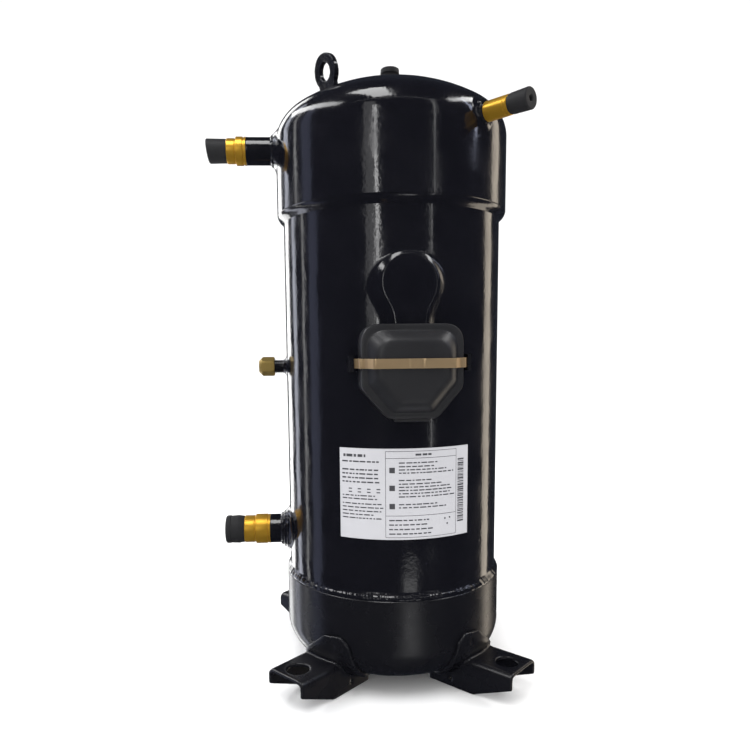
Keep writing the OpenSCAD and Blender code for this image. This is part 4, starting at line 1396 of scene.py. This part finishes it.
    def strap(self) -> bpy.types.Object:
        """Sweeps the strap's rounded section along its bent line, with the pressed crimp.

        Returns:
            The strap.
        """
        f, r, t = self.front + 0.3, self.rim + 0.3, self.strap_thick
        side = self.half_width + 0.6
        half = [(0, f, 0), (33, f, 2.5), (37, r + 3, 1.5), (39.6, r, 2.0), (side, r, 1.2),
                (side, r - 8.6, 2.0), (self.strap_end, r - 11, 0)]
        right = np.array(corner_path(half, 6, closed=False))
        extra = np.array([(x, f) for x in np.arange(1.0, 32)])
        right = np.concatenate([right[:1], extra, right[1:]])
        line = np.concatenate([right[:0:-1] * (-1, 1), right])
        away = np.gradient(line, axis=0)
        away /= np.linalg.norm(away, axis=1)[:, None]
        normal = np.stack([-away[:, 1], away[:, 0]], -1)
        w, k = self.strap_width / 2, 0.28
        section = corner_path([(-w, 0, k), (w, 0, k), (w, t, k), (-w, t, k)], 3)
        x, y = line.T
        start, end = self.crimp
        columns = []
        for up, lift in [*section, section[0]]:
            face = lift > 0.5 * t
            pressed = np.where((x > start) & (x < end) & (y > f - 1), self.crimp_press, 0)
            bump = np.exp(-(((x - self.dimple_at) / self.dimple_size) ** 2))
            dot = self.dimple * bump * (up < -0.5) * face
            out = lift * (1 - pressed * face) + dot
            columns.append(np.stack([x + normal[:, 0] * out, -(y + normal[:, 1] * out),
                                     np.full(len(line), up + self.strap_height)], -1))
        points = np.stack(columns, 1)
        strap = woven("cover_strap_look", points, 35.0)
        for tip in (0, -1):
            cap_end(strap, Vector(points[tip].mean(0) * MM))
        tidy_mesh(strap, 35.0)
        strap.data.transform(TERMINAL_TURN)
        return strap

    def build(self) -> None:
        """Builds the cover and the strap."""
        install(self.cover(), "terminal_cover")
        install(self.strap(), "cover_strap")


def cap_end(obj: bpy.types.Object, near: Vector) -> None:
    """Fills the open end of a swept piece that lies nearest a point.

    Args:
        obj: The piece.
        near: The middle of the open end.
    """
    pick(obj)
    bpy.ops.object.mode_set(mode="EDIT")
    bpy.ops.mesh.select_all(action="DESELECT")
    bpy.ops.mesh.select_non_manifold()
    bpy.ops.object.mode_set(mode="OBJECT")
    for edge in obj.data.edges:
        if (obj.data.vertices[edge.vertices[0]].co - near).length > 8 * MM:
            edge.select = False
    for vertex in obj.data.vertices:
        vertex.select = vertex.select and (vertex.co - near).length < 8 * MM
    bpy.ops.object.mode_set(mode="EDIT")
    bpy.ops.mesh.edge_face_add()
    bpy.ops.object.mode_set(mode="OBJECT")


@dataclass
class Label:
    """Plain rating label: a white film with unreadable printed bars and rules, in millimetres."""

    radius: float = 104.0
    azimuth: float = -88.7
    arc: float = 66.5
    bottom: float = 123.0
    height: float = 80.5
    thick: float = 0.3
    bars: list[tuple[float, float, float, float]] = field(default_factory=list)

    def patch(
        self, u0: float, u1: float, v0: float, v1: float, low: float, high: float, name: str
    ) -> bpy.types.Object:
        """Makes a thin curved patch of the label.

        Args:
            u0: Left side, as a part of the label's width.
            u1: Right side.
            v0: Upper side, as a part of the label's height from its top.
            v1: Lower side.
            low: Height of the patch's back above the shell.
            high: Height of its face.
            name: The patch's name.

        Returns:
            The patch.
        """
        steps = max(2, int(abs(u1 - u0) * 60) + 1)
        start = math.radians(self.azimuth - self.arc / 2)
        turn = start + math.radians(self.arc) * np.linspace(u0, u1, steps)
        top, low_z = self.bottom + self.height * (1 - v0), self.bottom + self.height * (1 - v1)
        rows = []
        for z, lift in ((low_z, low), (low_z, high), (top, high), (top, low), (low_z, low)):
            rows.append(around(self.radius + lift, turn, z))
        piece = woven(name, np.array(rows), 40.0)
        pick(piece)
        bpy.ops.object.mode_set(mode="EDIT")
        bpy.ops.mesh.select_all(action="DESELECT")
        bpy.ops.mesh.select_non_manifold()
        bpy.ops.mesh.edge_face_add()
        bpy.ops.object.mode_set(mode="OBJECT")
        tidy_mesh(piece, 40.0)
        return piece

    def words(self, u0: float, u1: float, v: float, tall: float, draw: np.random.Generator) -> None:
        """Adds a row of short bars that stands for a line of print.

        Args:
            u0: Start of the row, as a part of the label's width.
            u1: End of the row.
            v: Its middle, as a part of the label's height from its top.
            tall: Height of its bars, as a part of the same.
            draw: Source of the bars' lengths.
        """
        at = u0
        while at < u1 - 0.008:
            wide = min(draw.uniform(0.012, 0.05), u1 - at)
            self.bars.append((at, at + wide, v - tall / 2, v + tall / 2))
            at += wide + draw.uniform(0.006, 0.012)

    def layout(self) -> None:
        """Lays out the print: a column of data, a ruled panel and a strip of bars."""
        draw = np.random.default_rng(7)
        for v in (0.145, 0.235, 0.28, 0.325, 0.37):
            self.words(0.02, draw.uniform(0.26, 0.32), v, 0.016, draw)
        self.words(0.03, 0.2, 0.08, 0.03, draw)
        for v in (0.445, 0.48):
            for u in (0.07, 0.14, 0.21, 0.28):
                self.bars.append((u, u + 0.026, v - 0.006, v + 0.006))
        for v in (0.52, 0.555, 0.61, 0.65, 0.69, 0.73, 0.77):
            self.words(0.02, draw.uniform(0.25, 0.33), v, 0.013, draw)
        for u in (0.345, 0.885):
            self.bars.append((u - 0.0015, u + 0.0015, 0.03, 0.975))
        for v in (0.03, 0.105, 0.735, 0.975):
            self.bars.append((0.345, 0.885, v - 0.0025, v + 0.0025))
        self.words(0.56, 0.68, 0.068, 0.022, draw)
        for v, far in ((0.155, 0.74), (0.195, 0.7), (0.23, 0.8), (0.265, 0.86), (0.345, 0.68),
                       (0.385, 0.76), (0.42, 0.83), (0.455, 0.85), (0.49, 0.83), (0.525, 0.87),
                       (0.61, 0.73), (0.645, 0.8)):
            self.words(0.44, far, v, 0.013, draw)
        for v in (0.235, 0.43, 0.63):
            self.bars.append((0.372, 0.412, v - 0.03, v + 0.03))
        for v in (0.785, 0.835, 0.885, 0.935):
            self.words(0.37, draw.uniform(0.66, 0.71), v, 0.014, draw)
        for u, v in ((0.79, 0.79), (0.83, 0.785), (0.81, 0.85)):
            self.bars.append((u - 0.006, u + 0.006, v - 0.009, v + 0.009))
        v = 0.14
        while v < 0.86:
            tall = draw.choice([0.006, 0.012, 0.018])
            self.bars.append((0.9, 0.957, v, v + tall))
            v += tall + draw.choice([0.006, 0.01])

    def build(self) -> None:
        """Builds the film and its print."""
        film = self.patch(0, 1, 0, 1, 0.02, self.thick - 0.04, "name_label_look")
        install(film, "name_label")
        self.layout()
        back, face = self.thick - 0.05, self.thick
        marks = [self.patch(*bar, back, face, f"print_{i}") for i, bar in enumerate(self.bars)]
        ink = joined("name_label_print", marks)
        install(ink, "name_label", finish=INK)


# ---------------------------------------------------------------- studio


@dataclass(frozen=True)
class Strip:
    """One soft light panel, set round the object by compass angle from the camera's view axis."""

    name: str
    angle: float
    distance: float
    low: float
    high: float
    width: float
    power: float
    colour: str = "#ffffff"


@dataclass(frozen=True)
class Ceiling:
    """One soft light panel overhead, tilted about the level line across the view."""

    name: str
    place: Corner
    size: Pair
    tilt: float
    power: float


@dataclass
class Studio:
    """Plain pale floor and backdrop, soft panels and the camera."""

    floor_level: float = -0.028
    floor_front: float = -3.5
    floor_back: float = 1.6
    floor_bend: float = 1.2
    floor_half: float = 4.5
    backdrop_top: Pair = (2.85, 4.5)
    eye: Corner = (-0.072, -0.6574, 0.2905)
    heading: Pair = (0.0503, 0.9987)
    pitch: float = 6.66
    roll: float = -0.62
    lens: float = 31.42
    sensor: float = 36.0
    shift: Pair = (0.0295, 0.065)
    strips: tuple[Strip, ...] = (
        Strip("left_line", -106, 2.0, -1.6, 2.4, 0.1, 3.0),
        Strip("left_wall", -124, 2.0, -1.6, 2.4, 0.3, 9.0, "#eef1ff"),
        Strip("left_back", -146, 2.0, -1.6, 2.4, 0.5, 22.0),
        Strip("left_fill", -90, 2.2, -1.6, 2.4, 0.5, 3.5, "#cfd8ff"),
        Strip("centre_streak", -16, 2.6, 0.3, 1.6, 0.13, 4.0),
        Strip("centre_glow", -22, 2.6, 0.3, 2.2, 0.5, 2.6),
        Strip("right_line", 38, 2.2, -0.4, 2.2, 0.05, 1.6),
        Strip("right_cool", 84, 2.2, 1.1, 2.6, 0.12, 4.0, "#dfe6ff"),
        Strip("right_wall", 116, 2.0, -1.6, 2.4, 0.5, 14.0, "#fff1dd"),
        Strip("low_front", 16, 2.4, -1.7, -0.75, 0.6, 3.0),
    )
    ceilings: tuple[Ceiling, ...] = (
        Ceiling("ceiling_front", (-0.3, -0.75, 1.7), (0.45, 1.2), -22.0, 12.0),
        Ceiling("ceiling_row", (0.0, -1.9, 2.3), (3.4, 0.22), -40.0, 9.0),
        Ceiling("ceiling_left", (-1.5, 0.2, 1.7), (0.5, 2.2), 0.0, 22.0),
        Ceiling("ceiling_right", (1.4, 0.0, 1.8), (0.35, 1.8), 0.0, 14.0),
    )

    def floor(self) -> None:
        """Makes the floor, which curves up into the backdrop."""
        start, bend, wide = self.floor_back, self.floor_bend, self.floor_half
        profile = [(self.floor_front, 0.0), (start, 0.0)]
        for angle in np.linspace(0.1, 1.5, 12):
            profile.append((start + bend * math.sin(angle), bend * (1 - math.cos(angle))))
        profile += [self.backdrop_top]
        rows = [
            [(x, y, z + self.floor_level) for x in np.linspace(-wide, wide, 9)] for y, z in profile
        ]
        sweep = woven("studio_floor", np.array(rows) / MM, 60.0)
        paper = Finish("pale_backdrop_paper", "#fbfbfb", "#f9f9f9", Grain.MOULDED, 6.0, 0.01, 0.8)
        SHOP.dress(sweep, paper)
        # The paper stays out of the gloss and lets the low panels through to it.
        sweep.visible_glossy = False
        sweep.visible_shadow = False

    def lamp(
        self, name: str, size: Pair, power: float, colour: str = "#ffffff"
    ) -> bpy.types.Object:
        """Makes one soft rectangular light.

        Args:
            name: The light's name.
            size: Its two sides.
            power: Its power in watts.
            colour: Its colour.

        Returns:
            The light's object.
        """
        light = bpy.data.lights.new(name, "AREA")
        light.shape = "RECTANGLE"
        light.size, light.size_y = size
        light.energy = power
        light.color = linear(colour)[:3]
        lamp = bpy.data.objects.new(name, light)
        bpy.context.scene.collection.objects.link(lamp)
        return lamp

    def panel(self, strip: Strip) -> None:
        """Hangs one light panel, facing the object.

        Args:
            strip: The panel's size, place and power.
        """
        view = Vector((self.heading[0], self.heading[1], 0))
        turn = Matrix.Rotation(math.radians(strip.angle), 3, "Z")
        spot = turn @ (-view) * strip.distance
        middle = (strip.low + strip.high) / 2
        size = (strip.width, strip.high - strip.low)
        lamp = self.lamp(strip.name, size, strip.power, strip.colour)
        lamp.location = (spot.x, spot.y, middle)
        aim = Vector((-spot.x, -spot.y, 0))
        lamp.rotation_euler = aim.to_track_quat("-Z", "Y").to_euler()

    def hang(self, ceiling: Ceiling) -> None:
        """Hangs a soft panel over the object, for the dome and the tops of the stubs.

        Args:
            ceiling: The panel's size, place and power.
        """
        lamp = self.lamp(ceiling.name, ceiling.size, ceiling.power)
        lamp.location = ceiling.place
        lamp.rotation_euler = (math.radians(ceiling.tilt), 0, 0)

    def sky(self) -> None:
        """Gives reflections a dim room and the camera a white surround."""
        world = bpy.data.worlds.new("studio")
        bpy.context.scene.world = world
        world.use_nodes = True
        tree = world.node_tree
        tree.nodes.clear()
        rays = add_node(tree, "ShaderNodeLightPath", {})
        dim = {"Color": linear("#aab4cc"), "Strength": 0.06}
        room = add_node(tree, "ShaderNodeBackground", dim)
        white = {"Color": linear("#ffffff"), "Strength": 1.0}
        paper = add_node(tree, "ShaderNodeBackground", white)
        ways = {0: rays.outputs["Is Glossy Ray"], 1: paper.outputs[0], 2: room.outputs[0]}
        mixed = add_node(tree, "ShaderNodeMixShader", ways)
        add_node(tree, "ShaderNodeOutputWorld", {"Surface": mixed.outputs[0]})

    def camera(self) -> None:
        """Sets the camera."""
        data = bpy.data.cameras.new("camera")
        data.lens, data.sensor_width = self.lens, self.sensor
        data.shift_x, data.shift_y = self.shift
        data.clip_start = 0.01
        eye = bpy.data.objects.new("camera", data)
        down = math.radians(self.pitch)
        ahead = Vector((self.heading[0], self.heading[1], 0)).normalized()
        forward = ahead * math.cos(down) - Vector((0, 0, math.sin(down)))
        right = forward.cross(Vector((0, 0, 1))).normalized()
        up = right.cross(forward)
        tilt = math.radians(self.roll)
        side = right * math.cos(tilt) + up * math.sin(tilt)
        crown = up * math.cos(tilt) - right * math.sin(tilt)
        turn = Matrix((side, crown, -forward)).transposed().to_4x4()
        eye.matrix_world = Matrix.Translation(self.eye) @ turn
        bpy.context.scene.collection.objects.link(eye)
        bpy.context.scene.camera = eye

    def build(self) -> None:
        """Sets the floor, lights, surround and camera."""
        self.floor()
        for strip in self.strips:
            self.panel(strip)
        for ceiling in self.ceilings:
            self.hang(ceiling)
        self.sky()
        self.camera()
        bpy.context.scene.view_settings.view_transform = "Standard"


def dress_frame() -> None:
    """Gives every node of the frame its finish."""
    for name, node in frame["nodes"].items():
        SHOP.dress(node, FINISHES[SLOT_OF[name]])


def main() -> None:
    """Builds the pieces in order."""
    logging.basicConfig(level=logging.INFO, format="%(name)s: %(message)s")
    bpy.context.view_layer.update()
    dress_frame()
    Can().build()
    for stub in stubs():
        stub.build()
    ServicePort().build()
    DomeTop().build()
    Feet().build()
    TerminalBox().build()
    Label().build()
    Studio().build()


if __name__ == "__main__":
    main()
